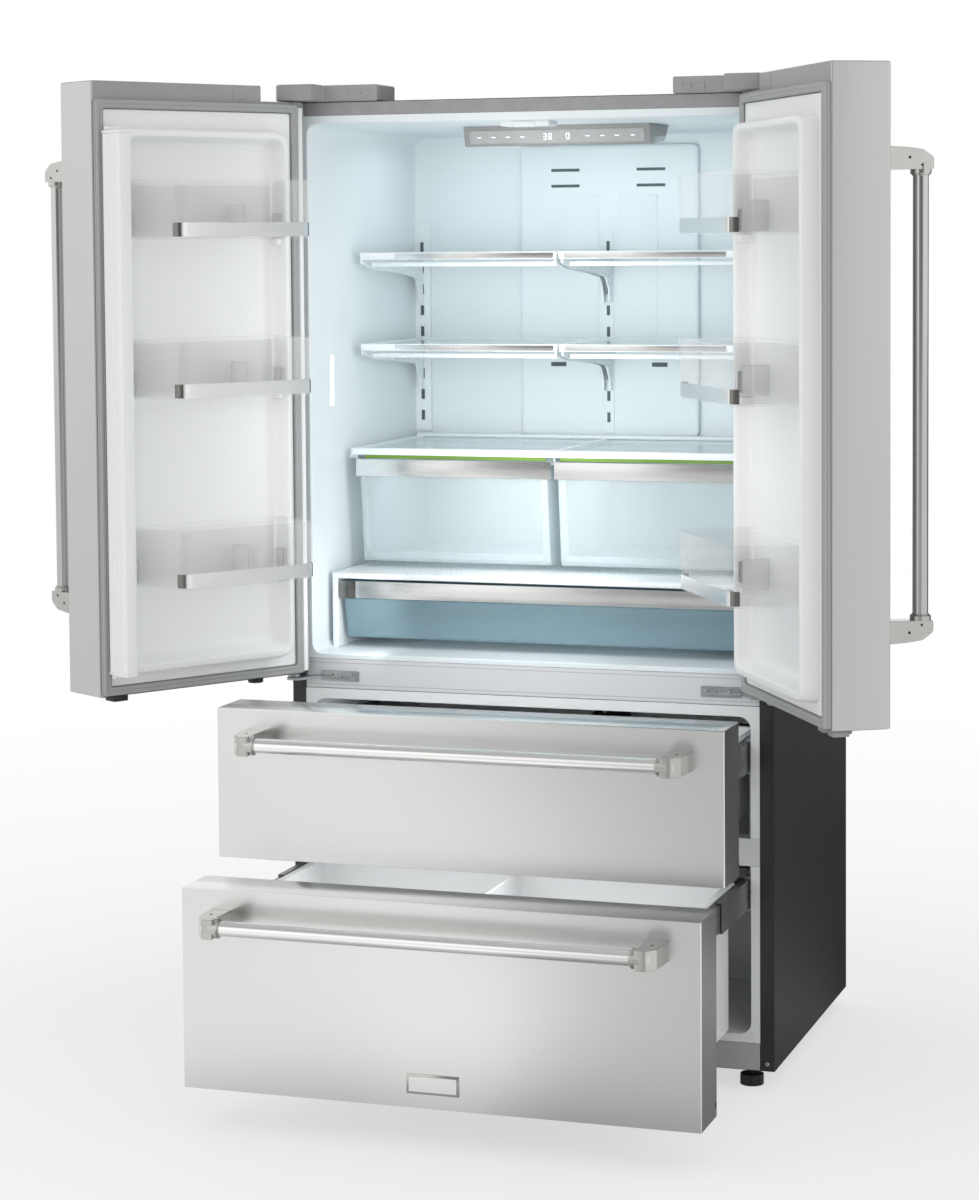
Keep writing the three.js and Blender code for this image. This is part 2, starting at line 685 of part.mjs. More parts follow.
function basket(label, slideZ, floor, depth) {
  const rimZ = slideZ + innerHeight / 2 + seat;
  const rim = innerWeb - slideNest - 1;
  const body = rim - slideLedge - 2;
  const y0 = drawerBack + seat + slideSheet + 4;
  const outer = join(
    taperedBox(y0, [-body, body, floor, rimZ + basketRim], depth, [-body, body, floor, rimZ + basketRim]),
    box(-rim, rim, y0, depth, rimZ, rimZ + basketRim));
  const room = [-body + basketWall, body - basketWall];
  const divider = 2;
  const hollow = (x0, x1) =>
    box(x0, x1, y0 + basketWall, depth - basketWall, floor + basketWall, rimZ + basketRim + 1);
  return piece(label + '_drawer_basket',
    cut(outer, hollow(room[0], -divider), hollow(divider, room[1])), whitePlastic);
}

function freezerDrawer(label, front, slideZ, floor, depth, pull) {
  const drawer = new THREE.Group();
  drawer.position.y = -pull;
  drawer.add(drawerFront(label, front), drawerHandle(label, front),
    drawerFrame(label, slideZ), basket(label, slideZ, floor, depth));
  const middle = new THREE.Group();
  middle.position.y = -pull / 2;
  middle.add(slideMiddle(label, slideZ));
  return [drawer, middle];
}

// ---- fresh food interior ----
const wallFace = cavityDepth - seat;

function shelfStandard(x, label) {
  const w = standardWidth / 2;
  const bar = box(x - w, x + w, wallFace - standardDepth, wallFace, standardFoot, standardHead);
  return piece('shelf_standard_' + label, cut(bar, ...slots(x, wallFace - standardDepth)), whiteSteel);
}

function slots(x, face) {
  const cuts = [];
  for (let z = standardHead - 36; z > standardFoot + slotHeight; z -= slotPitch)
    cuts.push(box(x - slotWidth / 2, x + slotWidth / 2, face - 1, face + slotDepth, z - slotHeight, z));
  return cuts;
}

function ductCover() {
  const face = wallFace - ductDepth;
  const cover = box(-ductHalfWidth, ductHalfWidth, face, wallFace, standardFoot - 6, ductHead);
  const bar = box(-centerStandardWidth / 2, centerStandardWidth / 2,
    wallFace - ductDepth - 2, wallFace - ductDepth + 1, standardFoot, standardHead - 14);
  const vents = [];
  for (const side of [-1, 1]) {
    for (const drop of ductVentDrops) {
      const z = ductHead - drop;
      vents.push(box(side * 87 - 31, side * 87 + 31, face - 1, face + 8,
        z - ductVentHeight / 2, z + ductVentHeight / 2));
    }
    vents.push(box(side * 103 - 17, side * 103 + 17, face - 1, face + 8,
      ductLowVentFoot, ductLowVentFoot + ductVentHeight));
  }
  const hooks = [-centerBracketX, centerBracketX].flatMap((x) => slots(x, face - 2));
  return piece('duct_cover', cut(join(cover, bar), ...vents, ...hooks), whitePlastic);
}

function halfShelf(side, top, label) {
  const edge = cavityHalf - sideReveal - 9;
  const [x0, x1] = side < 0 ? [-edge, -1.5] : [1.5, edge];
  const sideFace = wallFace - standardDepth - seat;
  const centerFace = wallFace - ductDepth - 2 - seat;
  const plate = box(x0, x1, shelfFront, centerFace - 4, top - shelfPlate, top);
  const trim = box(x0, x1, shelfFront, shelfFront + 10, top - shelfTrim, top);
  const bracket = (x, face) => {
    const arm = new THREE.Shape();
    const under = top - shelfPlate + 0.5;
    arm.moveTo(shelfFront + 12, under).lineTo(shelfFront + 14, under - 16);
    arm.quadraticCurveTo(face - 190, under - 34, face - 75, under - 38);
    arm.quadraticCurveTo(face - 32, under - 42, face - 18, under - bracketDrop);
    arm.lineTo(face, under - bracketDrop).lineTo(face, under);
    return prismX(arm, x - bracketSheet / 2, x + bracketSheet / 2);
  };
  const hook = (x, face) => {
    const tabs = [];
    for (let z = standardHead - 36; z > standardFoot + slotHeight; z -= slotPitch)
      if (z < top - 22 && z - slotHeight > top - bracketDrop)
        tabs.push(box(x - bracketSheet / 2, x + bracketSheet / 2, face - 2, face + 3,
          z - slotHeight + seat, z - 5));
    return tabs;
  };
  const outer = side * standardX;
  const inner = side * centerBracketX;
  return piece('shelf_' + label, join(plate, trim, bracket(outer, sideFace), bracket(inner, centerFace),
    ...hook(outer, sideFace), ...hook(inner, centerFace)), glassShelf);
}

function controlPanel() {
  const top = freshCeiling - seat;
  const profile = outline([
    [panelFront, top], [panelFront, top - 5], [panelFront + 9, top - panelDrop],
    [panelFront + 104, top - panelDrop + 8], [panelFront + 134, top]]);
  return piece('control_panel', prismX(profile, -panelHalfWidth, panelHalfWidth), greyPlastic);
}

const hangerFoot = 3;
const hangerZ = crisperRim - 3 - seat;

function crisperShelf() {
  const x = cavityHalf - sideReveal - 2;
  const z0 = crisperShelfTop - crisperShelfThickness;
  const back = wallFace - ductDepth - 5;
  const plate = box(-x, x, crisperShelfFront, back, z0 + 6, crisperShelfTop);
  const lip = box(-x, x, crisperShelfFront, crisperShelfFront + 12, z0, crisperShelfTop);
  const sideSeat = [-1, 1].map((s) => box(Math.min(s * x, s * (x - 10)), Math.max(s * x, s * (x - 10)),
    crisperShelfFront, back, z0, crisperShelfTop));
  const y0 = crisperShelfFront + 14;
  const hanger = (x0, x1, f0, f1) => [
    box(x0, x1, y0, back, hangerZ - hangerFoot, z0 + 7),
    box(f0, f1, y0, back, hangerZ - hangerFoot, hangerZ)];
  return piece('crisper_shelf', join(plate, lip, ...sideSeat,
    ...hanger(-1.5, 1.5, -7.5, 7.5),
    ...hanger(-x + 6.5, -x + 9, -x + 6.5, -x + 15),
    ...hanger(x - 9, x - 6.5, x - 15, x - 6.5)), glassShelf);
}

// The front of a bin leans back as it goes down: points are [y, z].
function crisperBody(inset, y1) {
  const y0 = crisperShelfFront + 4 + inset * 1.4;
  return outline([
    [y0 + crisperRake, crisperFloor + inset], [y1 - inset, crisperFloor + inset],
    [y1 - inset, crisperRim + (inset ? 1 : 0)], [y0, crisperRim + (inset ? 1 : 0)], [y0, crisperRim - 32]]);
}

function crisper(side, label) {
  const shelfEdge = cavityHalf - sideReveal - 2;
  const wallSide = shelfEdge - 18;
  const [x0, x1] = side < 0 ? [-wallSide, -10] : [10, wallSide];
  const [r0, r1] = side < 0 ? [-shelfEdge + 9 + seat, -1.5 - seat] : [1.5 + seat, shelfEdge - 9 - seat];
  const y1 = wallFace - ductDepth - 12;
  const tub = cut(prismX(crisperBody(0, y1), x0, x1),
    prismX(crisperBody(crisperWall, y1), x0 + crisperWall, x1 - crisperWall));
  const rim = cut(box(r0, r1, crisperShelfFront + 12, y1, crisperRim - 3, crisperRim),
    box(x0 + 1, x1 - 1, crisperShelfFront, y1 - 1, crisperRim - 4, crisperRim + 1));
  const band = box(r0, r1, crisperShelfFront + 2, crisperShelfFront + 6.5, crisperRim - 33, crisperRim);
  return piece('crisper_' + label, join(tub, rim, band), clearPlastic);
}

const deliOuter = cavityHalf - sideReveal + 2;

function deliShelf() {
  const back = wallFace - 20;
  const z0 = deliShelfTop - deliShelfThickness;
  const plate = box(-deliOuter, deliOuter, deliShelfFront, back, z0, deliShelfTop);
  const parts = [plate];
  for (const s of [-1, 1]) {
    const wall = [s * deliOuter, s * (deliOuter - deliSide)].sort((a, b) => a - b);
    const runner = [s * (deliOuter - 2), s * (deliOuter - deliSide - 8)].sort((a, b) => a - b);
    parts.push(box(wall[0], wall[1], deliShelfFront, back, freshFloor + seat, z0 + 1));
    parts.push(box(runner[0], runner[1], deliShelfFront + 12, back, deliRim - 14, deliRim - 4 - seat));
  }
  return piece('deli_shelf', join(...parts), whitePlastic);
}

function deliDrawer() {
  const x = deliOuter - deliSide - 1.2;
  const body = x - 10;
  const y0 = deliShelfFront + 4;
  const y1 = wallFace - 30;
  const side = (inset) => outline([
    [y0 + crisperRake + 2 * inset, deliFloor + inset], [y1 - inset, deliFloor + inset],
    [y1 - inset, deliRim + (inset ? 1 : 0)], [y0 + inset * 1.5, deliRim + (inset ? 1 : 0)],
    [y0 + inset * 1.5, deliRim - 33]]);
  const tub = cut(prismX(side(0), -body, body),
    prismX(side(crisperWall), -body + crisperWall, body - crisperWall));
  const rim = cut(box(-x, x, y0 + 14, y1 - 0.5, deliRim - 4, deliRim - 0.5),
    box(-body + 1, body - 1, y0, y1 - 1, deliRim - 5, deliRim + 1));
  const band = box(-x, x, y0 - 3, y0 + 1.5, deliRim - 32, deliRim + 0.4);
  return piece('deli_drawer', join(tub, rim, band), clearPlastic);
}

// ---- cooling ----
function fan(name, radius, x, y, z) {
  const bore = fanShaftRadius + pinClear;
  const hub = cut(rodY(0, 0, -fanDepth / 2, fanDepth / 2, fanHubRadius),
    rodY(0, 0, -fanDepth, fanDepth, bore, 16));
  const blades = [];
  for (let i = 0; i < 5; i++) {
    const blade = box(fanHubRadius - 2, radius, -1.2, 1.2, -radius * 0.24, radius * 0.24);
    blades.push(blade.rotateX(0.6).rotateY((i * 2 * Math.PI) / 5));
  }
  const mesh = piece(name, join(hub, ...blades), blackPlastic);
  mesh.position.set(x, y, z);
  return mesh;
}

const machineBack = caseDepth - backSheet;
const machineTop = caseBottom + machineHeight;
const machineDeck = caseBottom + machineFloor;
const condenserFront = machineBack - 70 - condenserDepth;
const condenserFanY = condenserFront - 14;
const condenserFanZ = machineDeck + condenserHeight / 2 + 6;

function compressor() {
  const y = caseDepth - machineDepth / 2;
  const base = machineDeck + seat;
  const r = compressorRadius;
  const dome = new THREE.LatheGeometry([
    new THREE.Vector2(0, 22), new THREE.Vector2(r - 22, 22), new THREE.Vector2(r - 5, 34),
    new THREE.Vector2(r, 52), new THREE.Vector2(r, compressorHeight - 62),
    new THREE.Vector2(r - 6, compressorHeight - 34), new THREE.Vector2(r - 28, compressorHeight - 12),
    new THREE.Vector2(0, compressorHeight)], round);
  dome.rotateX(Math.PI / 2).translate(compressorX, y, base);
  const foot = box(compressorX - r - 14, compressorX + r + 14, y - 52, y + 52, base + 14, base + 26);
  const pads = [-1, 1].flatMap((sx) => [-1, 1].map((sy) =>
    rodZ(compressorX + sx * (r + 2), y + sy * 40, base, base + 15, 9, 12)));
  const stub = rodX(y, base + 120, compressorX - r - 36, compressorX - r + 8, 4.5, 12);
  return piece('compressor', join(dome, foot, ...pads, stub), blackSteel);
}

function condenser() {
  const x0 = condenserX - condenserHalfWidth;
  const x1 = condenserX + condenserHalfWidth;
  const z0 = machineDeck + seat;
  const z1 = z0 + condenserHeight;
  const y0 = condenserFront;
  const block = box(x0, x1, y0, y0 + condenserDepth, z0, z1);
  const fins = [];
  for (let x = x0 + 8; x < x1 - 8; x += 9)
    fins.push(box(x, x + 6, y0 + 12, y0 + condenserDepth + 1, z0 + 14, z1 - 14));
  const mouth = rodY(condenserX, condenserFanZ, y0 - 40, y0 + 10, condenserFanRadius + 5);
  const shroud = box(x0, x1, y0 - 34, y0 + 1, z0, z1);
  const motor = rodY(condenserX, condenserFanZ, y0 + 2, y0 + 14, 20);
  const shaft = rodY(condenserX, condenserFanZ, condenserFanY - fanDepth / 2 - 3, y0 + 5, fanShaftRadius, 16);
  return piece('condenser',
    join(cut(join(cut(block, ...fins), shroud), mouth), motor, shaft), blackSteel);
}

const evaporatorBack = wallFace;
const evaporatorFanZ = evaporatorFloor + evaporatorHeight + 70;
const evaporatorFanY = evaporatorBack - evaporatorDepth + 4;

function evaporator() {
  const x = evaporatorHalfWidth;
  const z0 = evaporatorFloor;
  const z1 = z0 + evaporatorHeight;
  const y1 = evaporatorBack;
  const y0 = y1 - evaporatorDepth;
  const fins = [];
  for (let at = -x + 12; at < x - 14; at += 16) fins.push(box(at, at + 12, y0 - 1, y1 - 8, z0 + 10, z1 + 1));
  const block = cut(box(-x, x, y0, y1, z0, z1), ...fins);
  const strut = box(-24, 24, y1 - 10, y1, z1 - 20, evaporatorFanZ + 30);
  const motor = rodY(0, evaporatorFanZ, evaporatorFanY + fanDepth / 2 + 3, y1 - 4, 18);
  const shaft = rodY(0, evaporatorFanZ, evaporatorFanY - fanDepth / 2 - 2, y1 - 8, fanShaftRadius, 16);
  return piece('evaporator', join(block, strut, motor, shaft), aluminiumFin);
}

// ---- feet ----
function levelingFoot(side, label) {
  const grips = [];
  for (let i = 0; i < 8; i++) {
    const a = (i * Math.PI) / 4;
    grips.push(rodZ(Math.cos(a) * (footRadius + 1), Math.sin(a) * (footRadius + 1), 4, footKnob + 1, 3, 8));
  }
  const knob = cut(rodZ(0, 0, 0, footKnob, footRadius), ...grips);
  const stem = rodZ(0, 0, footKnob - 1, footStemTop, footStemRadius, 16);
  const mesh = piece('front_foot_' + label, join(knob, stem), blackPlastic);
  mesh.position.set(side * footX, footY, 0);
  return mesh;
}

function rearRoller(side, label) {
  const w = rollerWidth / 2;
  const wheel = cut(rodX(0, 0, -w, w, rollerRadius, 32),
    rodX(0, 0, -w - 1, w + 1, rollerAxleRadius + pinClear));
  const mesh = piece('rear_roller_' + label, wheel, blackPlastic);
  mesh.position.set(side * rollerX, rollerY, rollerRadius);
  return mesh;
}

// ---- assembly ----
const refrigerator = new THREE.Group();
refrigerator.position.y = -(outlineFront + outlineBack) / 2;
refrigerator.add(cabinetBody(), backPanel(), rearCover(), freshLiner(), freezerLiner(), centerRail(),
  freezerCrossbar(), ductCover(), controlPanel(), crisperShelf(), deliShelf(), deliDrawer(),
  compressor(), condenser(), evaporator(),
  fan('condenser_fan', condenserFanRadius, condenserX, condenserFanY, condenserFanZ),
  fan('evaporator_fan', evaporatorFanRadius, 0, evaporatorFanY, evaporatorFanZ));
for (const [side, label] of [[-1, 'left'], [1, 'right']]) {
  refrigerator.add(topHinge(side, label), hingeCover(side, label), centerHinge(side, label),
    shelfStandard(side * standardX, label), crisper(side, label), levelingFoot(side, label),
    rearRoller(side, label), hungDoor(side, label),
    halfShelf(side, shelfTops[0], 'upper_' + label), halfShelf(side, shelfTops[1], 'lower_' + label));
}
const lowerBasketDepth = stepFront - stepWall / 2 - basketRearClear;
refrigerator.add(
  ...freezerDrawer('upper', upperFront, upperSlideZ, upperBasketFloor, upperBasketDepth, upperPull),
  ...freezerDrawer('lower', lowerFront, lowerSlideZ, lowerBasketFloor, lowerBasketDepth, lowerPull));

export default refrigerator;
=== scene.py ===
# French door refrigerator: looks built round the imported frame. Shapes are drawn in millimetres.
import bpy
import bmesh
import json
import math
from mathutils import Matrix, Vector


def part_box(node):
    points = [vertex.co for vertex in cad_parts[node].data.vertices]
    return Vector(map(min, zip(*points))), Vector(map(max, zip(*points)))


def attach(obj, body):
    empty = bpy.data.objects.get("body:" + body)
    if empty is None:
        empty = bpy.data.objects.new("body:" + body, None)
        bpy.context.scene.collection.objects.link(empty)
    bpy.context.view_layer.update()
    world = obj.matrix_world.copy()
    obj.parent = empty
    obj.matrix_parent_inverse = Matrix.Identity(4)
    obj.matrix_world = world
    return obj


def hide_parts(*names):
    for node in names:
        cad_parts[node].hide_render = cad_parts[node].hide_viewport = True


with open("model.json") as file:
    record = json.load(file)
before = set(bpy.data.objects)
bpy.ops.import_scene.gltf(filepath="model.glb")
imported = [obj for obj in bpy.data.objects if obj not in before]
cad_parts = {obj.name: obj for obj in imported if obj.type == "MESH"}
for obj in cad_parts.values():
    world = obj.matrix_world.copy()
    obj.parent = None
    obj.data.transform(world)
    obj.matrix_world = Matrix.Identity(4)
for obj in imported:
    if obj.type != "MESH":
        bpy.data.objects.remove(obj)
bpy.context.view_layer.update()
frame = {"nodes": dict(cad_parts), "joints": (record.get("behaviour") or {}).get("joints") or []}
nodes = frame["nodes"]
pinOf = {j["name"]: Vector(j.get("pos_m", (0, 0, 0))) * 1000 for j in frame["joints"]}
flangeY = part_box("center_rail")[0].y * 1000  # the cabinet's front flange plane
openAngle = math.radians(121.7)

# places: cabinet and drawer coordinates start on the flange plane, door coordinates on the hinge pin
cabinetPlace = Matrix.Translation((0, flangeY, 0))
upperPull = -12 - (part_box("upper_drawer_front")[1].y * 1000 - flangeY)
lowerPull = -12 - (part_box("lower_drawer_front")[1].y * 1000 - flangeY)
upperPlace = Matrix.Translation((0, flangeY - upperPull, 0))
lowerPlace = Matrix.Translation((0, flangeY - lowerPull, 0))


def doorPlace(side):
    pin = pinOf["left_door_hinge" if side < 0 else "right_door_hinge"]
    turn = Matrix.Rotation(side * openAngle, 4, "Z")
    return Matrix.Translation((pin.x, pin.y, 0)) @ turn @ Matrix.Diagonal((-side, 1, 1, 1))


doorPlaces = {"left": doorPlace(-1), "right": doorPlace(1)}

# materials
print("materials")


def newFinish(name, color, roughness, metallic=0.0, grain=(300, 300, 300), grainDepth=0.0,
              tint=0.0, tintScale=(6, 6, 6), roughSpread=0.0, **sockets):
    # the fine grain varies colour, roughness and height a little, the broad tint only the colour
    made = bpy.data.materials.new(name)
    made.use_nodes = True
    made.diffuse_color = (*color[:3], 1)
    tree = made.node_tree
    shader = tree.nodes["Principled BSDF"]
    shader.inputs["Base Color"].default_value = (*color[:3], 1)
    shader.inputs["Roughness"].default_value = roughness
    shader.inputs["Metallic"].default_value = metallic
    for key, value in sockets.items():
        shader.inputs[key.replace("_", " ")].default_value = value
    place = tree.nodes.new("ShaderNodeTexCoord")

    def patch(scale, detail):
        fit = tree.nodes.new("ShaderNodeMapping")
        fit.inputs["Scale"].default_value = scale
        spots = tree.nodes.new("ShaderNodeTexNoise")
        spots.inputs["Scale"].default_value = 1
        spots.inputs["Detail"].default_value = detail
        tree.links.new(place.outputs["Object"], fit.inputs["Vector"])
        tree.links.new(fit.outputs["Vector"], spots.inputs["Vector"])
        return spots.outputs["Fac"]

    fine = patch(grain, 3)
    broad = patch(tintScale, 4)
    if tint:
        mixed = tree.nodes.new("ShaderNodeMix")
        mixed.data_type = "FLOAT"
        mixed.inputs["Factor"].default_value = 0.55
        tree.links.new(fine, mixed.inputs["A"])
        tree.links.new(broad, mixed.inputs["B"])
        ramp = tree.nodes.new("ShaderNodeValToRGB")
        ramp.color_ramp.elements[0].position = 0.3
        ramp.color_ramp.elements[1].position = 0.7
        ramp.color_ramp.elements[0].color = (*[c * (1 - tint) for c in color[:3]], 1)
        ramp.color_ramp.elements[1].color = (*[min(1, c * (1 + tint)) for c in color[:3]], 1)
        tree.links.new(mixed.outputs["Result"], ramp.inputs["Fac"])
        tree.links.new(ramp.outputs["Color"], shader.inputs["Base Color"])
    if roughSpread:
        spread = tree.nodes.new("ShaderNodeMapRange")
        spread.inputs["From Min"].default_value = 0.3
        spread.inputs["From Max"].default_value = 0.7
        spread.inputs["To Min"].default_value = max(0.02, roughness - roughSpread)
        spread.inputs["To Max"].default_value = roughness + roughSpread
        tree.links.new(fine, spread.inputs["Value"])
        tree.links.new(spread.outputs["Result"], shader.inputs["Roughness"])
    if grainDepth:
        bump = tree.nodes.new("ShaderNodeBump")
        bump.inputs["Strength"].default_value = 0.5
        bump.inputs["Distance"].default_value = grainDepth
        tree.links.new(fine, bump.inputs["Height"])
        tree.links.new(bump.outputs["Normal"], shader.inputs["Normal"])
    return made


def clearFinish(name, color, faceAlpha, edgeAlpha, roughness=0.06, spread=0.5):
    made = newFinish(name, color, roughness, grain=(40, 40, 40), tint=0.03, IOR=1.49)
    tree = made.node_tree
    shader = tree.nodes["Principled BSDF"]
    facing = tree.nodes.new("ShaderNodeLayerWeight")
    facing.inputs["Blend"].default_value = spread
    seen = tree.nodes.new("ShaderNodeMapRange")
    seen.inputs["To Min"].default_value = faceAlpha
    seen.inputs["To Max"].default_value = edgeAlpha
    tree.links.new(facing.outputs["Facing"], seen.inputs["Value"])
    tree.links.new(seen.outputs["Result"], shader.inputs["Alpha"])
    return made


steelUpright = newFinish("steelUpright", (0.64, 0.64, 0.635), 0.33, 1.0, (1300, 1300, 9), 0.00003,
                         0.05, (3, 3, 1.2), 0.05)
# drawer-front steel: a much lighter copy of the door steel, painted light
steelAcrossPaintedLight = newFinish("steelAcrossPaintedLight", (0.86, 0.858, 0.85), 0.25, 1.0, (9, 1300, 1300), 0.000006,
                        0.02, (1.2, 3, 3), 0.02)
# dark copy of the drawer-front steel: painted shade on the fronts' side returns and foot
steelReturnPaintedShade = newFinish("steelReturnPaintedShade", (0.26, 0.255, 0.245), 0.36, 1.0, (1300, 9, 1300), 0.00003,
                        0.06, (3, 1.2, 3), 0.05)
barUpright = newFinish("barUpright", (0.60, 0.595, 0.585), 0.14, 1.0, (1800, 1800, 14), 0.00001,
                       0.04, (8, 8, 3), 0.04)
# drawer handle bars: a much lighter copy of the door handle bar steel, painted light
barAcrossPaintedLight = newFinish("barAcrossPaintedLight", (0.97, 0.965, 0.95), 0.16, 1.0, (14, 1800, 1800), 0.00001,
                      0.04, (3, 8, 8), 0.04)
castChrome = newFinish("castChrome", (0.58, 0.57, 0.55), 0.17, 1.0, (500, 500, 500), 0.00002,
                       0.05, (30, 30, 30), 0.04)
trimSteel = newFinish("trimSteel", (0.92, 0.92, 0.91), 0.25, 1.0, (12, 1600, 1600), 0.00002,
                      0.05, (4, 9, 9), 0.05)
# dark copy of the trim steel: painted shade on the bands' corner faces and the deli band's end
trimPaintedShade = newFinish("trimPaintedShade", (0.26, 0.25, 0.24), 0.25, 1.0, (1600, 12, 1600), 0.00002,
                     0.06, (9, 4, 9), 0.05)
zincSteel = newFinish("zincSteel", (0.46, 0.47, 0.48), 0.34, 0.9, (260, 260, 260), 0.00004,
                      0.12, (60, 60, 60), 0.08)
slideSteel = newFinish("slideSteel", (0.17, 0.175, 0.185), 0.32, 0.9, (260, 260, 260), 0.00003,
                       0.12, (60, 60, 60), 0.08)
screwSteel = newFinish("screwSteel", (0.55, 0.55, 0.54), 0.25, 1.0, (900, 900, 900), 0.00002,
                       0.08, (90, 90, 90), 0.06)
casePaint = newFinish("casePaint", (0.018, 0.018, 0.0185), 0.5, 0.0, (1500, 1500, 1500), 0.00012,
                      0.10, (30, 30, 30), 0.06, Specular_IOR_Level=0.22)
stripPaint = newFinish("stripPaint", (0.027, 0.027, 0.028), 0.34, 0.0, (1200, 1200, 1200), 0.00012,
                       0.14, (40, 40, 40), 0.06)
# a mid-grey strip along the top of the case front, much lighter than the case round it
headStripGrey = newFinish("headStripGrey", (0.30, 0.30, 0.298), 0.42, 0.0, (1100, 1100, 1100), 0.00012,
                      0.12, (40, 40, 40), 0.06)
whiteDoor = newFinish("whiteDoor", (0.86, 0.862, 0.86), 0.34, 0.0, (260, 260, 260), 0.00002,
                      0.012, (4, 4, 4), 0.03, Coat_Weight=0.15, Coat_Roughness=0.2)
# white liner plastic with a painted blue-green tint, the colour of the interior lamps' light; darker than the
# door liner's white
whiteRoomPaintedLampTint = newFinish("whiteRoomPaintedLampTint", (0.76, 0.815, 0.835), 0.36, 0.0, (260, 260, 260), 0.00002,
                      0.012, (4, 4, 4), 0.03, Coat_Weight=0.1, Coat_Roughness=0.25)
# white plastic with a painted blue-green tint, the colour of the interior lamps' light
whiteShelfPaintedLampTint = newFinish("whiteShelfPaintedLampTint", (0.83, 0.875, 0.89), 0.28, 0.0, (300, 300, 300), 0.00001,
                       0.012, (8, 8, 8), 0.03, Coat_Weight=0.2, Coat_Roughness=0.15)
whiteFreezer = newFinish("whiteFreezer", (0.80, 0.815, 0.82), 0.38, 0.0, (260, 260, 260), 0.00002,
                         0.015, (5, 5, 5), 0.04)
whitePaint = newFinish("whitePaint", (0.66, 0.67, 0.68), 0.4, 0.0, (900, 900, 900), 0.00005,
                       0.015, (6, 6, 6), 0.04)
greyBase = newFinish("greyBase", (0.40, 0.405, 0.41), 0.45, 0.0, (700, 700, 700), 0.00005,
                     0.03, (20, 20, 20), 0.05)
capGrey = newFinish("capGrey", (0.33, 0.335, 0.33), 0.42, 0.0, (900, 900, 900), 0.00005,
                    0.04, (30, 30, 30), 0.06)
coverGrey = newFinish("coverGrey", (0.32, 0.32, 0.317), 0.42, 0.0, (900, 900, 900), 0.00005,
                      0.04, (30, 30, 30), 0.06)
sealLight = newFinish("sealLight", (0.37, 0.375, 0.375), 0.6, 0.0, (500, 500, 500), 0.00004,
                      0.04, (20, 20, 20), 0.05)
blackPart = newFinish("blackPart", (0.018, 0.018, 0.019), 0.45, 0.0, (700, 700, 700), 0.00006,
                      0.12, (40, 40, 40), 0.08)
blackEnamel = newFinish("blackEnamel", (0.012, 0.012, 0.013), 0.28, 0.0, (120, 120, 120), 0.00005,
                        0.1, (20, 20, 20), 0.06)
finAluminium = newFinish("finAluminium", (0.6, 0.61, 0.62), 0.4, 1.0, (1200, 200, 200), 0.00004,
                         0.08, (30, 30, 30), 0.08)
# dark plates in slots and vents: painted shade of the openings
slotPaintedShade = newFinish("slotPaintedShade", (0.09, 0.12, 0.125), 0.6, 0.0, (300, 300, 300), 0.0,
                     0.1, (60, 60, 60), 0.05)
greenStrip = newFinish("greenStrip", (0.16, 0.30, 0.035), 0.4, 0.0, (300, 300, 300), 0.0,
                       0.06, (40, 10, 10), 0.05)
panelGlass = newFinish("panelGlass", (0.50, 0.505, 0.505), 0.2, 0.5, (200, 200, 200), 0.0,
                       0.1, (20, 20, 20), 0.03, Coat_Weight=0.5)
lampWhite = newFinish("lampWhite", (0.85, 0.95, 1.0), 0.4, 0.0, (200, 200, 200), 0.0,
                      0.02, (20, 20, 20), 0.02, Emission_Color=(0.85, 0.95, 1, 1), Emission_Strength=0.9)
binClear = clearFinish("binClear", (0.98, 0.985, 0.99), 0.018, 0.24)
hookClear = clearFinish("hookClear", (0.97, 0.975, 0.98), 0.3, 0.6)
crisperClear = clearFinish("crisperClear", (0.84, 0.93, 0.955), 0.22, 0.7)
deliClear = clearFinish("deliClear", (0.34, 0.50, 0.57), 0.34, 0.8)
paneGlass = clearFinish("paneGlass", (0.80, 0.92, 0.945), 0.16, 0.62, 0.03)

# mesh helpers


def addBox(shape, x0, x1, y0, y1, z0, z1, radius=0.0, steps=2, slot=0):
    made = bmesh.ops.create_cube(shape, size=1)["verts"]
    for v in made:
        v.co = Vector((x1 if v.co.x > 0 else x0, y1 if v.co.y > 0 else y0, z1 if v.co.z > 0 else z0))
    for f in {f for v in made for f in v.link_faces}:
        f.material_index = slot
    if radius:
        edges = list({e for v in made for e in v.link_edges})
        bmesh.ops.bevel(shape, geom=edges, offset=radius, segments=steps, profile=0.5,
                        affect="EDGES", clamp_overlap=True)


def filleted(points, radii, steps=6):
    # Rounds each corner of a closed outline by its own radius.
    out = []
    count = len(points)
    for i, point in enumerate(points):
        r = radii[i] if isinstance(radii, (list, tuple)) else radii
        a, b, c = Vector(points[i - 1]), Vector(point), Vector(points[(i + 1) % count])
        if not r:
            out.append(b)
            continue
        u, v = (a - b).normalized(), (c - b).normalized()
        angle = u.angle(v)
        reach = min(r / math.tan(angle / 2), (a - b).length * 0.49, (c - b).length * 0.49)
        start, end = b + u * reach, b + v * reach
        for k in range(steps + 1):
            t = k / steps
            out.append(start * (1 - t) ** 2 + b * 2 * t * (1 - t) + end * t * t)
    return out


axisPoint = {
    "x": lambda u, v, w: Vector((w, u, v)),
    "y": lambda u, v, w: Vector((u, w, v)),
    "z": lambda u, v, w: Vector((u, v, w)),
}


def addLoft(shape, loops, slot=0, closed=False, caps=True):
    rings = [[shape.verts.new(p) for p in loop] for loop in loops]
    pairs = list(zip(rings, rings[1:])) + ([(rings[-1], rings[0])] if closed else [])
    slots = slot if isinstance(slot, (list, tuple)) else [slot] * len(pairs)
    for (a, b), s in zip(pairs, slots):
        for i in range(len(a)):
            j = (i + 1) % len(a)
            shape.faces.new((a[i], a[j], b[j], b[i])).material_index = s
    if caps and not closed:
        shape.faces.new(rings[0]).material_index = slots[0]
        shape.faces.new(rings[-1]).material_index = slots[-1]


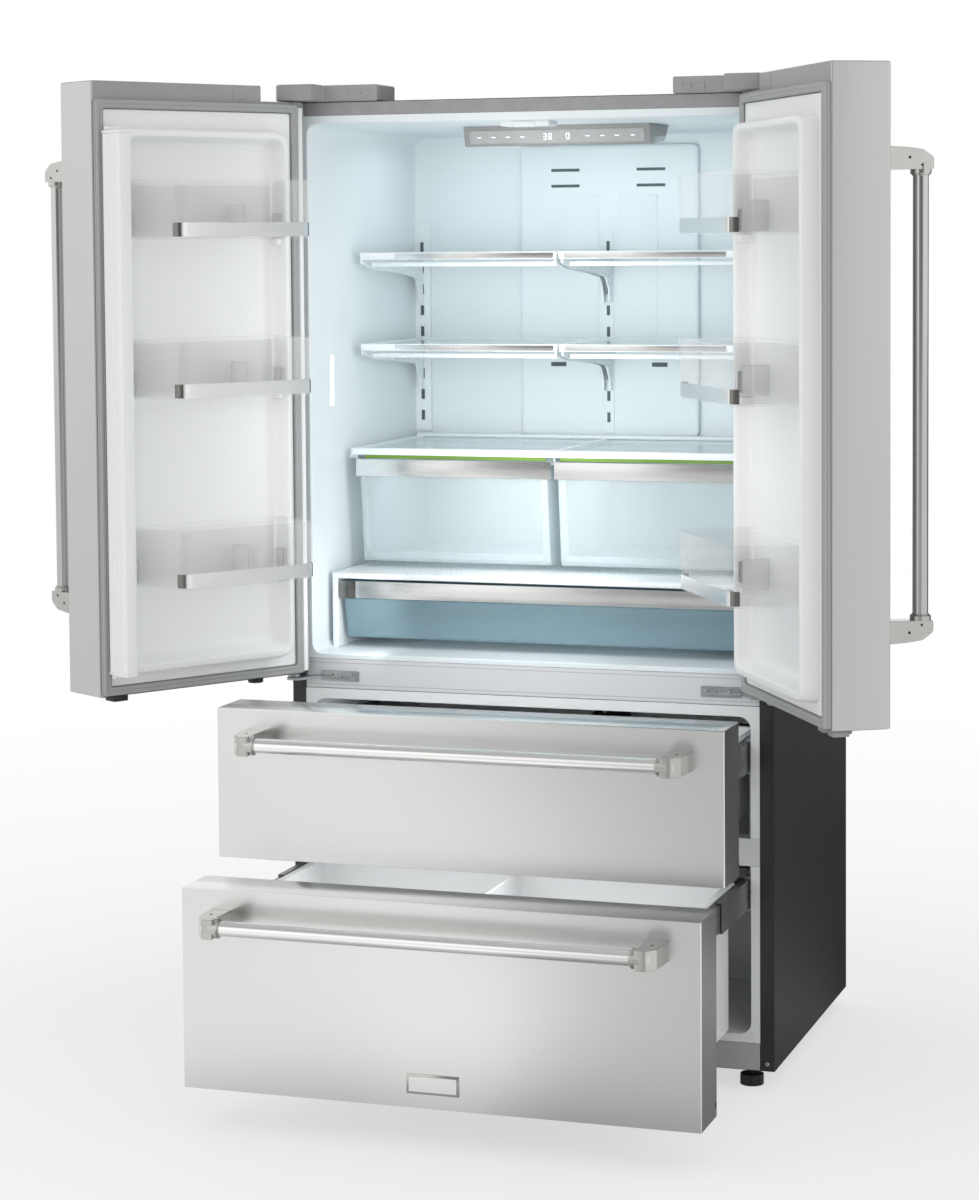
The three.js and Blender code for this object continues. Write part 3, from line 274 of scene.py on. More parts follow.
def addPrism(shape, outline, axis, low, high, slot=0, rim=0.0):
    # An extruded outline; rim chamfers both ends a little.
    at = axisPoint[axis]
    middle = sum((Vector(p) for p in outline), Vector((0, 0))) / len(outline)

    def loop(w, inset):
        pts = []
        count = len(outline)
        for i, p in enumerate(outline):
            p = Vector(p)
            if inset:
                a, c = Vector(outline[i - 1]), Vector(outline[(i + 1) % count])
                along = (c - a).normalized()
                normal = Vector((-along.y, along.x))
                if normal.dot(middle - p) < 0:
                    normal.negate()
                p = p + normal * inset
            pts.append(at(p[0], p[1], w))
        return pts

    levels = [(low, rim), (low + rim, 0), (high - rim, 0), (high, rim)] if rim else [(low, 0), (high, 0)]
    addLoft(shape, [loop(w, inset) for w, inset in levels], slot)


def rectLoop(x0, x1, z0, z1, radius, level, axis="y", steps=5):
    radius = max(0.01, radius)
    corners = [(x0, z0), (x1, z0), (x1, z1), (x0, z1)]
    at = axisPoint[axis]
    return [at(p[0], p[1], level) for p in filleted(corners, radius, steps)]


def addRod(shape, start, end, radius, sides=40, rim=0.6, slot=0):
    start, end = Vector(start), Vector(end)
    along = (end - start).normalized()
    side = along.orthogonal().normalized()
    up = along.cross(side)
    length = (end - start).length
    levels = [(0, radius - rim), (rim, radius), (length - rim, radius), (length, radius - rim)]
    if not rim:
        levels = [(0, radius), (length, radius)]
    loops = [[start + along * d + (side * math.cos(a) + up * math.sin(a)) * r
              for a in (2 * math.pi * k / sides for k in range(sides))] for d, r in levels]
    addLoft(shape, loops, slot)


def finishPiece(name, shape, place, materials, body, replaces=(), smooth=35, bevel=None):
    bmesh.ops.remove_doubles(shape, verts=shape.verts, dist=0.001)
    shape.transform(Matrix.Scale(0.001, 4) @ place)
    bmesh.ops.recalc_face_normals(shape, faces=shape.faces)
    mesh = bpy.data.meshes.new(name)
    shape.to_mesh(mesh)
    shape.free()
    piece = bpy.data.objects.new(name, mesh)
    bpy.context.collection.objects.link(piece)
    for m in materials if isinstance(materials, (list, tuple)) else [materials]:
        mesh.materials.append(m)
    dressPiece(piece, body, replaces, smooth, bevel)
    return piece


def dressPiece(piece, body, replaces, smooth, bevel):
    mesh = piece.data
    mesh.polygons.foreach_set("use_smooth", [True] * len(mesh.polygons))
    mesh.set_sharp_from_angle(angle=math.radians(smooth))
    if bevel:
        edge = piece.modifiers.new("softEdges", "BEVEL")
        edge.width = bevel * 0.001
        edge.segments = 2
        edge.limit_method = "ANGLE"
        edge.angle_limit = math.radians(32)
        edge.use_clamp_overlap = True
        edge.harden_normals = True
    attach(piece, body)
    if replaces:
        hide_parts(*replaces)


def softenNode(node, body, materials, bevel=0.8, choose=None, smooth=35):
    # A cleaned copy of a frame node with its sharp edges rounded; choose picks a finish per face.
    mesh = nodes[node].data.copy()
    mesh.materials.clear()
    shape = bmesh.new()
    shape.from_mesh(mesh)
    bmesh.ops.remove_doubles(shape, verts=shape.verts, dist=0.00002)
    bmesh.ops.dissolve_limit(shape, angle_limit=math.radians(0.6), verts=shape.verts, edges=shape.edges)
    shape.normal_update()
    for f in shape.faces:
        f.material_index = 0
        if choose:
            centre = f.calc_center_median() * 1000
            centre.y -= flangeY
            f.material_index = choose(centre, f.normal)
    shape.to_mesh(mesh)
    shape.free()
    for m in materials if isinstance(materials, (list, tuple)) else [materials]:
        mesh.materials.append(m)
    piece = bpy.data.objects.new(node + "_finished", mesh)
    bpy.context.collection.objects.link(piece)
    dressPiece(piece, body, (node,), smooth, bevel)
    return piece


# repeated pieces: one tree sets copies of a small shape along a line
def buildRowTree():
    tree = bpy.data.node_groups.new("rowOfCopies", "GeometryNodeTree")
    face = tree.interface
    sockets = {}
    for label, kind in (("Template", "NodeSocketObject"), ("Count", "NodeSocketInt"),
                        ("Start", "NodeSocketVector"), ("Step", "NodeSocketVector"),
                        ("Finish", "NodeSocketMaterial"), ("Size jitter", "NodeSocketFloat")):
        sockets[label] = face.new_socket(label, in_out="INPUT", socket_type=kind).identifier
    face.new_socket("Geometry", in_out="OUTPUT", socket_type="NodeSocketGeometry")
    add = tree.nodes.new
    given, result = add("NodeGroupInput"), add("NodeGroupOutput")
    line, copies = add("GeometryNodeMeshLine"), add("GeometryNodeInstanceOnPoints")
    info, real = add("GeometryNodeObjectInfo"), add("GeometryNodeRealizeInstances")
    paint = add("GeometryNodeSetMaterial")
    jitter = add("FunctionNodeRandomValue")
    jitter.data_type = "FLOAT"
    jitter.inputs["Seed"].default_value = 7
    low, high = add("ShaderNodeMath"), add("ShaderNodeMath")
    low.operation, high.operation = "SUBTRACT", "ADD"
    low.inputs[0].default_value = high.inputs[0].default_value = 1.0
    link = tree.links.new
    link(given.outputs["Template"], info.inputs["Object"])
    link(given.outputs["Count"], line.inputs["Count"])
    link(given.outputs["Start"], line.inputs["Start Location"])
    link(given.outputs["Step"], line.inputs["Offset"])
    link(line.outputs["Mesh"], copies.inputs["Points"])
    link(info.outputs["Geometry"], copies.inputs["Instance"])
    link(given.outputs["Size jitter"], low.inputs[1])
    link(given.outputs["Size jitter"], high.inputs[1])
    link(low.outputs[0], jitter.inputs[2])
    link(high.outputs[0], jitter.inputs[3])
    link(jitter.outputs[1], copies.inputs["Scale"])
    link(copies.outputs["Instances"], real.inputs["Geometry"])
    link(real.outputs["Geometry"], paint.inputs["Geometry"])
    link(given.outputs["Finish"], paint.inputs["Material"])
    link(paint.outputs["Geometry"], result.inputs["Geometry"])
    return tree, sockets


rowTree, rowSockets = buildRowTree()


def repeatPiece(name, shape, count, start, step, place, material, body, jitter=0.0, smooth=35):
    # shape is drawn round its own origin, in millimetres, and set out along a line of count copies.
    bmesh.ops.recalc_face_normals(shape, faces=shape.faces)
    shape.transform(Matrix.Scale(0.001, 4))
    mesh = bpy.data.meshes.new(name + "Template")
    shape.to_mesh(mesh)
    shape.free()
    template = bpy.data.objects.new(name + "Template", mesh)
    holder = bpy.data.objects.new(name + "Row", bpy.data.meshes.new(name + "Row"))
    bpy.context.collection.objects.link(template)
    bpy.context.collection.objects.link(holder)
    row = holder.modifiers.new("row", "NODES")
    row.node_group = rowTree
    for label, value in (("Template", template), ("Count", count), ("Start", [c * 0.001 for c in start]),
                         ("Step", [c * 0.001 for c in step]), ("Finish", material), ("Size jitter", jitter)):
        row[rowSockets[label]] = value
    bpy.context.view_layer.update()
    graph = bpy.context.evaluated_depsgraph_get()
    made = bpy.data.meshes.new_from_object(holder.evaluated_get(graph), depsgraph=graph)
    made.name = name
    bpy.data.objects.remove(holder)
    bpy.data.objects.remove(template)
    fit = place.copy()
    fit.translation = fit.translation * 0.001
    made.transform(fit)
    if fit.determinant() < 0:
        made.flip_normals()
    piece = bpy.data.objects.new(name, made)
    bpy.context.collection.objects.link(piece)
    dressPiece(piece, body, (), smooth, None)
    return piece


def screwHead(radius=4.2, depth=2.4, axis="y", facing=-1):
    # A domed cross-slot head standing on its origin.
    shape = bmesh.new()
    at = axisPoint[axis]
    sides = 20
    loops = []
    for d, r in ((0, radius), (depth * 0.45, radius), (depth * 0.85, radius * 0.8), (depth, radius * 0.52)):
        loops.append([at(r * math.cos(a), r * math.sin(a), facing * d)
                      for a in (2 * math.pi * k / sides for k in range(sides))])
    cross = []
    w, reach = radius * 0.13, radius * 0.42
    for k in range(sides):
        a = 2 * math.pi * k / sides
        r = reach if k % 5 == 0 else w * 2.2
        cross.append(at(r * math.cos(a), r * math.sin(a), facing * depth * 0.98))
    loops.append(cross)
    loops.append([at(w * math.cos(2 * math.pi * k / sides), w * math.sin(2 * math.pi * k / sides),
                     facing * depth * 0.45) for k in range(sides)])
    addLoft(shape, loops)
    return shape


# doors
print("doors")
door = {
    "hingeEdge": -17, "freeEdge": 433.5, "back": 24, "face": -76, "bottom": 713, "top": 1781,
    "capFoot": 1746, "capStepTo": 76, "capStepTop": 1752, "edgeRadius": 5, "sheet": 1.4, "hem": 7,
}


def buildDoorShell(label, place):
    d = door
    s = d["sheet"]
    r = d["edgeRadius"]
    body = label + "_door"
    # steel wrap: a thin folded sheet round face and both edges, hemmed at the back
    outer = [(d["hingeEdge"], d["back"]), (d["hingeEdge"], d["face"]), (d["freeEdge"], d["face"]),
             (d["freeEdge"], d["back"]), (d["freeEdge"] - d["hem"], d["back"])]
    inner = [(d["freeEdge"] - d["hem"], d["back"] - s), (d["freeEdge"] - s, d["back"] - s),
             (d["freeEdge"] - s, d["face"] + s), (d["hingeEdge"] + s, d["face"] + s),
             (d["hingeEdge"] + s, d["back"])]
    plan = filleted(outer + inner, [0, r, r, 2, 0, 0, 1, r - s, r - s, 0], 6)
    lowTop = d["capStepTop"] - 3
    shape = bmesh.new()
    addPrism(shape, plan, "z", d["bottom"] + 1.5, lowTop)
    upperPlan = filleted([(d["capStepTo"], d["face"]), (d["freeEdge"], d["face"]), (d["freeEdge"], d["back"]),
                          (d["freeEdge"] - d["hem"], d["back"]), (d["freeEdge"] - d["hem"], d["back"] - s),
                          (d["freeEdge"] - s, d["back"] - s), (d["freeEdge"] - s, d["face"] + s),
                          (d["capStepTo"], d["face"] + s)], [0, r, 2, 0, 0, 1, r - s, 0], 6)
    addPrism(shape, upperPlan, "z", lowTop, d["top"] - 1.6)
    finishPiece(label + "_door_skin", shape, place, steelUpright, body, (label + "_door_panel",))
    # back face behind the seal
    shape = bmesh.new()
    addBox(shape, d["hingeEdge"] + s + 0.2, d["freeEdge"] - s - 0.4, d["face"] + s + 0.3, d["back"] - 0.3,
           d["bottom"] + 5, d["capFoot"] - 1.6, 0.6, 1)
    finishPiece(label + "_door_back", shape, place, whiteDoor, body)
    # top cap, stepped down over the hinge
    shape = bmesh.new()
    x0, x1 = d["hingeEdge"] + s + 0.2, d["freeEdge"] - s - 0.4
    profile = filleted([(x0, d["capFoot"]), (x1, d["capFoot"]), (x1, d["top"]), (d["capStepTo"], d["top"]),
                        (d["capStepTo"], d["capStepTop"]), (x0, d["capStepTop"])], [1, 1, 2.5, 2.5, 3, 2], 4)
    addPrism(shape, profile, "y", d["face"] + s + 0.3, d["back"] + 0.2, rim=1.2)
    addBox(shape, 112, 139, d["back"] - 0.5, d["back"] + 1.0, d["top"] - 26, d["top"] - 4, 0.5, 1)
    addRod(shape, (0, 0, d["capStepTop"] - 1), (0, 0, d["capStepTop"] + 0.6), 12, 32, 0.4)
    finishPiece(label + "_door_top_cap", shape, place, capGrey, body)
    # bottom cap with its stops and closing cam
    shape = bmesh.new()
    addBox(shape, x0 + 1, x1 - 1, d["face"] + 4, d["back"] - 1.5, d["bottom"] + 0.3, d["bottom"] + 6, 1, 1)
    finishPiece(label + "_door_bottom_cap", shape, place, blackPart, body)
    shape = bmesh.new()
    for x in ((372, 402),) if label == "left" else ((352, 378), (398, 424)):
        addBox(shape, x[0], x[1], d["back"] - 34, d["back"] - 5, d["bottom"] - 10.5, d["bottom"] + 1, 2, 2)
        addBox(shape, x[0] + 5, x[1] - 5, d["back"] - 40, d["back"] - 20, d["bottom"] - 7, d["bottom"] + 1,
               1.5, 2)
    addRod(shape, (88, 2, d["bottom"] - 9), (88, 2, d["bottom"] + 1), 14, 32, 1.5)
    addRod(shape, (0, 0, d["bottom"] - 0.2), (0, 0, d["bottom"] + 2), 11, 32, 0.3)
    finishPiece(label + "_door_stops", shape, place, blackPart if label == "left" else capGrey, body)


seal = {"x0": 1, "x1": 430.5, "z0": 716, "z1": 1749, "base": 24.3}


def buildSeal(label, place):
    s = seal
    b = s["base"]
    # cross-section round the door: distance in from the outer edge, and height off the door's back
    section = [(0.6, b), (0.2, b + 4.5), (1.6, b + 5.6), (0.4, b + 7.5), (0.9, b + 10.4), (2.2, b + 11.3),
               (7.4, b + 11.3), (8, b + 10.6), (8.6, b + 11.3), (13.6, b + 11.3), (15, b + 10.2),
               (15.4, b + 7), (13.4, b + 5.4), (15.8, b + 3.2), (15.8, b)]
    shape = bmesh.new()
    loops = [rectLoop(s["x0"] + i, s["x1"] - i, s["z0"] + i, s["z1"] - i, 5, y) for i, y in section]
    slots = [1, 1, 1, 1] + [0] * 11
    addLoft(shape, loops, slots, closed=True)
    finishPiece(label + "_door_seal", shape, place, [sealLight, greyBase], label + "_door",
                (label + "_door_gasket",), 50)


liner = {"x0": 17.4, "x1": 414.1, "z0": 732.4, "z1": 1732.6, "flange": 30, "dikeX0": 40, "dikeX1": 394,
         "dikeZ0": 752, "dikeZ1": 1700, "dikeTop": 62, "ridge": 12.5, "outerRadius": 26, "innerRadius": 20}


def buildDoorLiner(label, place):
    n = liner
    shape = bmesh.new()
    x0, x1, z0, z1 = n["dikeX0"], n["dikeX1"], n["dikeZ0"], n["dikeZ1"]
    ro, ri, top, f, g = n["outerRadius"], n["innerRadius"], n["dikeTop"], n["flange"], n["ridge"]
    loops = [
        rectLoop(n["x0"], n["x1"], n["z0"], n["z1"], 6, 24.4),
        rectLoop(n["x0"], n["x1"], n["z0"], n["z1"], 6, f - 1.2),
        rectLoop(n["x0"] + 1.2, n["x1"] - 1.2, n["z0"] + 1.2, n["z1"] - 1.2, 5, f),
        rectLoop(x0 - 1.5, x1 + 1.0, z0 - 1.5, z1 + 1.5, ro + 2, f),
        rectLoop(x0 + 0.3, x1 - 0.2, z0 + 0.3, z1 - 0.3, ro, f + 2),
        rectLoop(x0 + 3, x1 - 0.8, z0 + 3, z1 - 3, ro - 1, top - 5),
        rectLoop(x0 + 4, x1 - 2, z0 + 4, z1 - 4, ro - 2, top - 1.6),
        rectLoop(x0 + 6, x1 - 4.2, z0 + 6.2, z1 - 6.2, ro - 4, top),
        rectLoop(x0 + g - 2, x1 - g + 2, z0 + g + 3, z1 - g - 1, ri + 3, top),
        rectLoop(x0 + g, x1 - g, z0 + g + 5, z1 - g - 3, ri + 2, top - 1.8),
        rectLoop(x0 + g + 1.2, x1 - g - 1.2, z0 + g + 7, z1 - g - 4.5, ri + 1, top - 6),
        rectLoop(x0 + g + 4, x1 - g - 4, z0 + g + 14, z1 - g - 8, ri, f + 9),
        rectLoop(x0 + g + 7, x1 - g - 7, z0 + g + 22, z1 - g - 11, ri - 2, f + 3.4),
        rectLoop(x0 + g + 13, x1 - g - 13, z0 + g + 32, z1 - g - 17, ri - 6, f + 0.8),
    ]
    addLoft(shape, loops)
    # pads that carry the bins
    for foot in binFoot.values():
        for x in (x0 + g - 1, x1 - g - 13):
            addBox(shape, x, x + 14, f, top - 8, foot - 12, foot - 0.6, 2.5, 2)
    if label == "left":
        for z in (748.5, 1695.6):
            addBox(shape, x1 - 3, x1 + 26, 41, 52, z, z + 6, 1.5, 2)
    finishPiece(label + "_liner_moulding", shape, place, whiteDoor, label + "_door",
                (label + "_door_liner",), 40)


binFoot = {"upper": 1508, "middle": 1232, "lower": 906}
bins = {"x0": 59, "x1": 375, "y0": 30.6, "y1": 172, "height": 102, "wall": 2.4, "taperFree": 20,
        "taperHinge": 10, "cornerRadius": 20, "bandFoot": 4, "bandTop": 28, "bandReach": 26}


def binPlan(inset, lean=0.0):
    b = bins
    corners = [(b["x0"] + inset, b["y0"] + inset), (b["x1"] - inset, b["y0"] + inset),
               (b["x1"] - b["taperFree"] - inset - lean, b["y1"] - inset - lean),
               (b["x0"] + b["taperHinge"] + inset + lean, b["y1"] - inset - lean)]
    r = b["cornerRadius"]
    return filleted(corners, [5, 5, max(4, r - inset), max(4, r - inset)], 7)


def buildBin(label, where, place):
    b = bins
    foot = binFoot[where]
    top = foot + b["height"]

    def loop(inset, z, lean=0.0):
        return [Vector((p[0], p[1], z)) for p in binPlan(inset, lean)]

    w = b["wall"]
    shape = bmesh.new()
    addLoft(shape, [
        loop(3.5, foot, 4.5), loop(1.4, foot + 1.2, 4.2), loop(0.7, foot + 3, 4), loop(0.6, top - 9, 0.6),
        loop(0, top - 7, 0), loop(0, top - 1, 0), loop(0.8, top, 0),
        loop(w + 0.4, top, 0), loop(w + 1, top - 1.2, 0.4), loop(w + 0.8, foot + 9, 4),
        loop(w + 2.5, foot + 5, 4.6), loop(w + 8, foot + 3.2, 5)])
    # side hooks and an inner stop wall
    addBox(shape, b["x0"] - 4, b["x0"] + 4, b["y0"] + 3, 58, foot + 6, foot + 44, 2, 2, 1)
    addBox(shape, b["x1"] - 4, b["x1"] + 4, b["y0"] + 3, 58, foot + 6, foot + 44, 2, 2, 1)
    addBox(shape, b["x0"] + 96, b["x0"] + 99, b["y0"] + 5, b["y0"] + 52, foot + 5, foot + 58, 1, 1, 1)
    finishPiece(f"{label}_bin_{where}_tray", shape, place, [binClear, hookClear], label + "_door",
                (f"{label}_bin_{where}",), 30)
    # brushed band across the front, with painted shade on the faces where it turns the corners
    shape = bmesh.new()
    reach = b["y1"] - b["bandReach"]
    outer = [p for p in binPlan(-0.5, 3.4) if p[1] > reach]
    inner = [p for p in binPlan(0.35, 3.4) if p[1] > reach - 0.4]
    plan = outer + inner[::-1]
    at = [[Vector((p[0], p[1], z)) for p in plan] for z in (foot + b["bandFoot"], foot + b["bandTop"])]
    addLoft(shape, at)
    shape.normal_update()
    # corner faces take the dark copy of the trim: painted shade
    for f in shape.faces:
        f.material_index = 1 if abs(f.normal.x) > 0.45 else 0
    finishPiece(f"{label}_bin_{where}_band", shape, place, [trimSteel, trimPaintedShade], label + "_door",
                (), 50)


handle = {"barRadius": 12.7, "standOff": 62, "length": 799, "armHeight": 38, "armWidth": 33,
          "collarRadius": 17, "collarLength": 45, "inset": 31.5, "doorFoot": 848}


def addHandleEnds(shape, turn):
    h = handle
    reach = -h["standOff"] + h["collarRadius"]
    out = -h["standOff"] - h["collarRadius"]
    for flip in (False, True):
        part = bmesh.new()
        corners = [(0, 0), (0, h["armHeight"]), (reach + 6, h["armHeight"] - 1),
                   (reach, h["collarLength"] - 8), (out + 1, h["collarLength"] - 8), (out + 0.6, 18),
                   (-h["standOff"] + 2, 5), (-h["standOff"] / 2, 1.5)]
        profile = filleted(corners, [0.8, 1.2, 6, 2, 2.5, 10, 14, 20], 8)
        w = h["armWidth"] / 2
        addPrism(part, profile, "x", -w, w, rim=0.6)
        s = -h["standOff"]
        addRod(part, (0, s, 26), (0, s, h["collarLength"]), h["collarRadius"], 48, 1.6)
        addRod(part, (0, s, h["collarLength"] - 0.5), (0, s, h["collarLength"] + 2.2), h["barRadius"] + 1.6,
               48, 0.8)
        addRod(part, (w - 1, s / 2 - 6, 18), (w + 0.25, s / 2 - 6, 18), 2.4, 20, 0.0, 1)
        addRod(part, (-w + 1, s / 2 - 6, 18), (-w - 0.25, s / 2 - 6, 18), 2.4, 20, 0.0, 1)
        addRod(part, (w - 1, s + 4, 30), (w + 0.6, s + 4, 30), 2.0, 20, 0.0, 1)
        if flip:
            part.transform(Matrix.Translation((0, 0, h["length"])) @ Matrix.Diagonal((1, 1, -1, 1)))
        part.transform(turn)
        spare = bpy.data.meshes.new("spare")
        bmesh.ops.recalc_face_normals(part, faces=part.faces)
        part.to_mesh(spare)
        part.free()
        shape.from_mesh(spare)
        bpy.data.meshes.remove(spare)


def buildHandle(name, turn, place, body, node, barFinish):
    h = handle
    shape = bmesh.new()
    addHandleEnds(shape, turn)
    finishPiece(name + "_ends", shape, place, [castChrome, blackPart], body, (node,), 40)
    shape = bmesh.new()
    addRod(shape, (0, -h["standOff"], 14), (0, -h["standOff"], h["length"] - 14), h["barRadius"], 64, 0.5)
    shape.transform(turn)
    finishPiece(name + "_bar", shape, place, barFinish, body, (), 40)


for label, place in doorPlaces.items():
    buildDoorShell(label, place)
    buildSeal(label, place)
    buildDoorLiner(label, place)
    for where in binFoot:
        buildBin(label, where, place)
    stand = Matrix.Translation((door["freeEdge"] - handle["inset"], door["face"] - 0.3, handle["doorFoot"]))
    buildHandle(label + "_grip", stand, place, label + "_door", label + "_door_handle", barUpright)

# flipper bar between the doors, folded beside the left liner
flipper = {"x0": 399, "x1": 423, "y0": 39, "y1": 95, "foot": 755, "head": 1695, "groove": 1.3}


def buildFlipper():
    p = flipper
    plan = [(p["x0"], p["y0"]), (p["x1"] - 3, p["y0"]), (p["x1"], p["y0"] + 3)]
    for y in (52, 60, 68, 76):
        deep = p["x1"] - p["groove"]
        plan += [(p["x1"], y), (deep, y + 1), (deep, y + 3), (p["x1"], y + 4)]
    plan += [(p["x1"], p["y1"]), (p["x0"], p["y1"])]
    plan = filleted(plan, [2, 1, 1] + [0.3] * 16 + [4, 4], 3)
    shape = bmesh.new()
    addPrism(shape, plan, "z", p["foot"] + 6, p["head"] - 6)
    for z0, z1 in ((p["foot"], p["foot"] + 6), (p["head"] - 6, p["head"])):
        addBox(shape, p["x0"] - 0.2, p["x1"] + 0.2, p["y0"] - 0.2, p["y1"] + 0.2, z0, z1, 1.6, 2)
    addRod(shape, (415, 45, p["foot"] - 5), (415, 45, p["head"] + 5), 3, 24, 0.4)
    finishPiece("flipper_bar", shape, doorPlaces["left"], whiteDoor, "flipper", ("flipper_mullion",))


buildFlipper()

# freezer drawers
print("drawers")
drawer = {"face": -112, "back": -12, "sheet": 1.3}
levels = {
    "upper": {"bottom": 434, "top": 696, "handle": 644, "place": upperPlace},
    "lower": {"bottom": 70.5, "top": 414, "handle": 364, "place": lowerPlace},
}


def buildDrawerFront(label):
    d, level = drawer, levels[label]
    half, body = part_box(label + "_drawer_front")[1].x * 1000, label + "_drawer"
    z0, z1 = level["bottom"], level["top"]
    # face sheet folds back over the sides; the lid and foot are separate folded pieces
    shape = bmesh.new()
    s = d["sheet"]
    plan = filleted([(-half, d["back"]), (-half, d["face"]), (half, d["face"]), (half, d["back"]),
                     (half - s, d["back"]), (half - s, d["face"] + s), (-half + s, d["face"] + s),
                     (-half + s, d["back"])], [0, 3.4, 3.4, 0, 0, 2, 2, 0], 6)
    addPrism(shape, plan, "z", z0 + 1.2, z1 - 1.4)
    shape.normal_update()
    # the side returns take the dark copy of the steel: painted shade
    for f in shape.faces:
        f.material_index = 1 if abs(f.normal.x) > 0.8 and f.calc_center_median().y > d["face"] + 4 else 0
    finishPiece(label + "_front_sheet", shape, level["place"], [steelAcrossPaintedLight, steelReturnPaintedShade], body,
                (label + "_drawer_front",))
    shape = bmesh.new()
    addBox(shape, -half + 0.5, half - 0.5, d["face"] + 1.4, d["back"] - 0.2, z1 - 7, z1, 1.2, 2)
    # the foot takes the dark copy of the steel: painted shade
    addBox(shape, -half + 0.8, half - 0.8, d["face"] + 2.2, d["back"] - 0.2, z0, z0 + 6, 1.2, 2, 1)
    addBox(shape, -half + s + 0.3, half - s - 0.3, d["face"] + s + 0.4, d["back"], z0 + 5, z1 - 6, 0.5, 1, 2)
    finishPiece(label + "_front_caps", shape, level["place"], [steelAcrossPaintedLight, steelReturnPaintedShade, whiteFreezer], body)
    # rubber corner buttons
    shape = bmesh.new()
    for x in (-half - 0.6, half + 0.6):
        inward = -1 if x > 0 else 1
        for z in (z0 + 22, z1 - 8):
            if label == "upper" or z < z0 + 30:
                addRod(shape, (x, d["back"] - 7, z), (x + inward * 6, d["back"] - 7, z), 5, 24, 1.4)
    finishPiece(label + "_corner_buttons", shape, level["place"], blackPart, body)
    turn = Matrix.Translation((-handle["length"] / 2, d["face"] - 0.3, level["handle"])) @ \
        Matrix.Rotation(math.pi / 2, 4, "Y")
    buildHandle(label + "_drawer_grip", turn, level["place"], body, label + "_drawer_handle", barAcrossPaintedLight)
    # seal frame behind the front
    shape = bmesh.new()
    section = ((0, 0.2), (0, 8), (2, 10.4), (12, 10.4), (14, 8), (14, 0.2))
    loops = [rectLoop(-half + 8 + i, half - 8 - i, z0 + 8 + i, z1 - 8 - i, 5, d["back"] + y)
             for i, y in section]
    addLoft(shape, loops, 0, closed=True)
    finishPiece(label + "_drawer_seal", shape, level["place"], sealLight, body, (), 50)


def buildBasket(label, wall=2.6):
    body = label + "_drawer"
    low, high = [c * 1000 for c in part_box(label + "_drawer_basket")]
    rimHalf = high.x
    halfBody = rimHalf - 12
    y0, y1 = low.y - flangeY, high.y - flangeY
    z0, z1 = low.z, high.z
    cells = ((-halfBody + wall, -2.4), (2.4, halfBody - wall))
    shape = bmesh.new()
    # outer tub and one rounded pocket per side, built as closed walls round each pocket
    for x0, x1 in cells:
        left = x0 - wall if x0 < -5 else 0.0
        right = x1 + wall if x1 > 5 else 0.0
        addLoft(shape, [
            rectLoop(x0 + 20, x1 - 20, y0 + 24, y1 - 24, 20, z0 + wall, "z"),
            rectLoop(x0 + 8, x1 - 8, y0 + wall + 10, y1 - wall - 10, 22, z0 + wall + 4, "z"),
            rectLoop(x0 + 3, x1 - 3, y0 + wall + 4, y1 - wall - 4, 22, z0 + wall + 16, "z"),
            rectLoop(x0, x1, y0 + wall, y1 - wall, 18, z1 - 3, "z"),
            rectLoop(x0 - 0.6, x1 + 0.6, y0 + wall - 0.6, y1 - wall + 0.6, 18, z1 - 0.6, "z"),
            rectLoop(x0 - 1.4, x1 + 1.4, y0 + wall - 1.4, y1 - wall + 1.4, 18, z1, "z"),
            rectLoop(left, right, y0, y1, 1, z1, "z"),
            rectLoop(left, right, y0, y1, 1, z0, "z"),
        ])
    for x0, x1 in ((-rimHalf, -halfBody + 0.4), (halfBody - 0.4, rimHalf)):
        addBox(shape, x0, x1, y0, y1, z1 - 4, z1, 1.2, 2)
    finishPiece(label + "_basket_tub", shape, cabinetPlace, whiteFreezer, body, (label + "_drawer_basket",),
                40)
    rib = bmesh.new()
    addBox(rib, -3, 3, -(y1 - y0) / 2 + 30, (y1 - y0) / 2 - 30, -1.2, 1.6, 1, 1)
    repeatPiece(label + "_basket_ribs", rib, 12, (-halfBody + 50, (y0 + y1) / 2, z0 + wall + 0.6),
                ((2 * halfBody - 100) / 11, 0, 0), cabinetPlace, whiteFreezer, body)


for label in levels:
    buildDrawerFront(label)
    buildBasket(label)
    softenNode(label + "_drawer_frame", label + "_drawer", slideSteel, 0.6)
    softenNode(label + "_slide_middle", label + "_slide", slideSteel, 0.5)

# blank plate on the lower front
badge = {"x0": -50, "x1": 42, "z0": 95, "z1": 129, "border": 4, "proud": 1.6, "fieldProud": 2.2}
shape = bmesh.new()
rim, face = badge["border"], drawer["face"]
addBox(shape, badge["x0"], badge["x1"], face - badge["proud"], face + 0.4, badge["z0"], badge["z1"], 0.9, 2)
addBox(shape, badge["x0"] + rim, badge["x1"] - rim, face - badge["fieldProud"], face - 1.2,
       badge["z0"] + rim, badge["z1"] - rim, 0.4, 1, 1)
finishPiece("lower_front_plate", shape, lowerPlace, [castChrome, trimSteel], "lower_drawer")

# cabinet
print("cabinet")


def casePart(centre, normal):
    return 1 if normal.y < -0.9 and centre.y < 1 else 0


def crossbarPart(centre, normal):
    # the bar is white; the fixed slides and their straps are bare steel
    strap = centre.y > 5 and abs(centre.x) > 390 and not 392 < centre.z < 450
    return 1 if centre.y > 55 or strap else 0


softenNode("cabinet_body", "cabinet", [casePaint, stripPaint], 1.2, casePart)
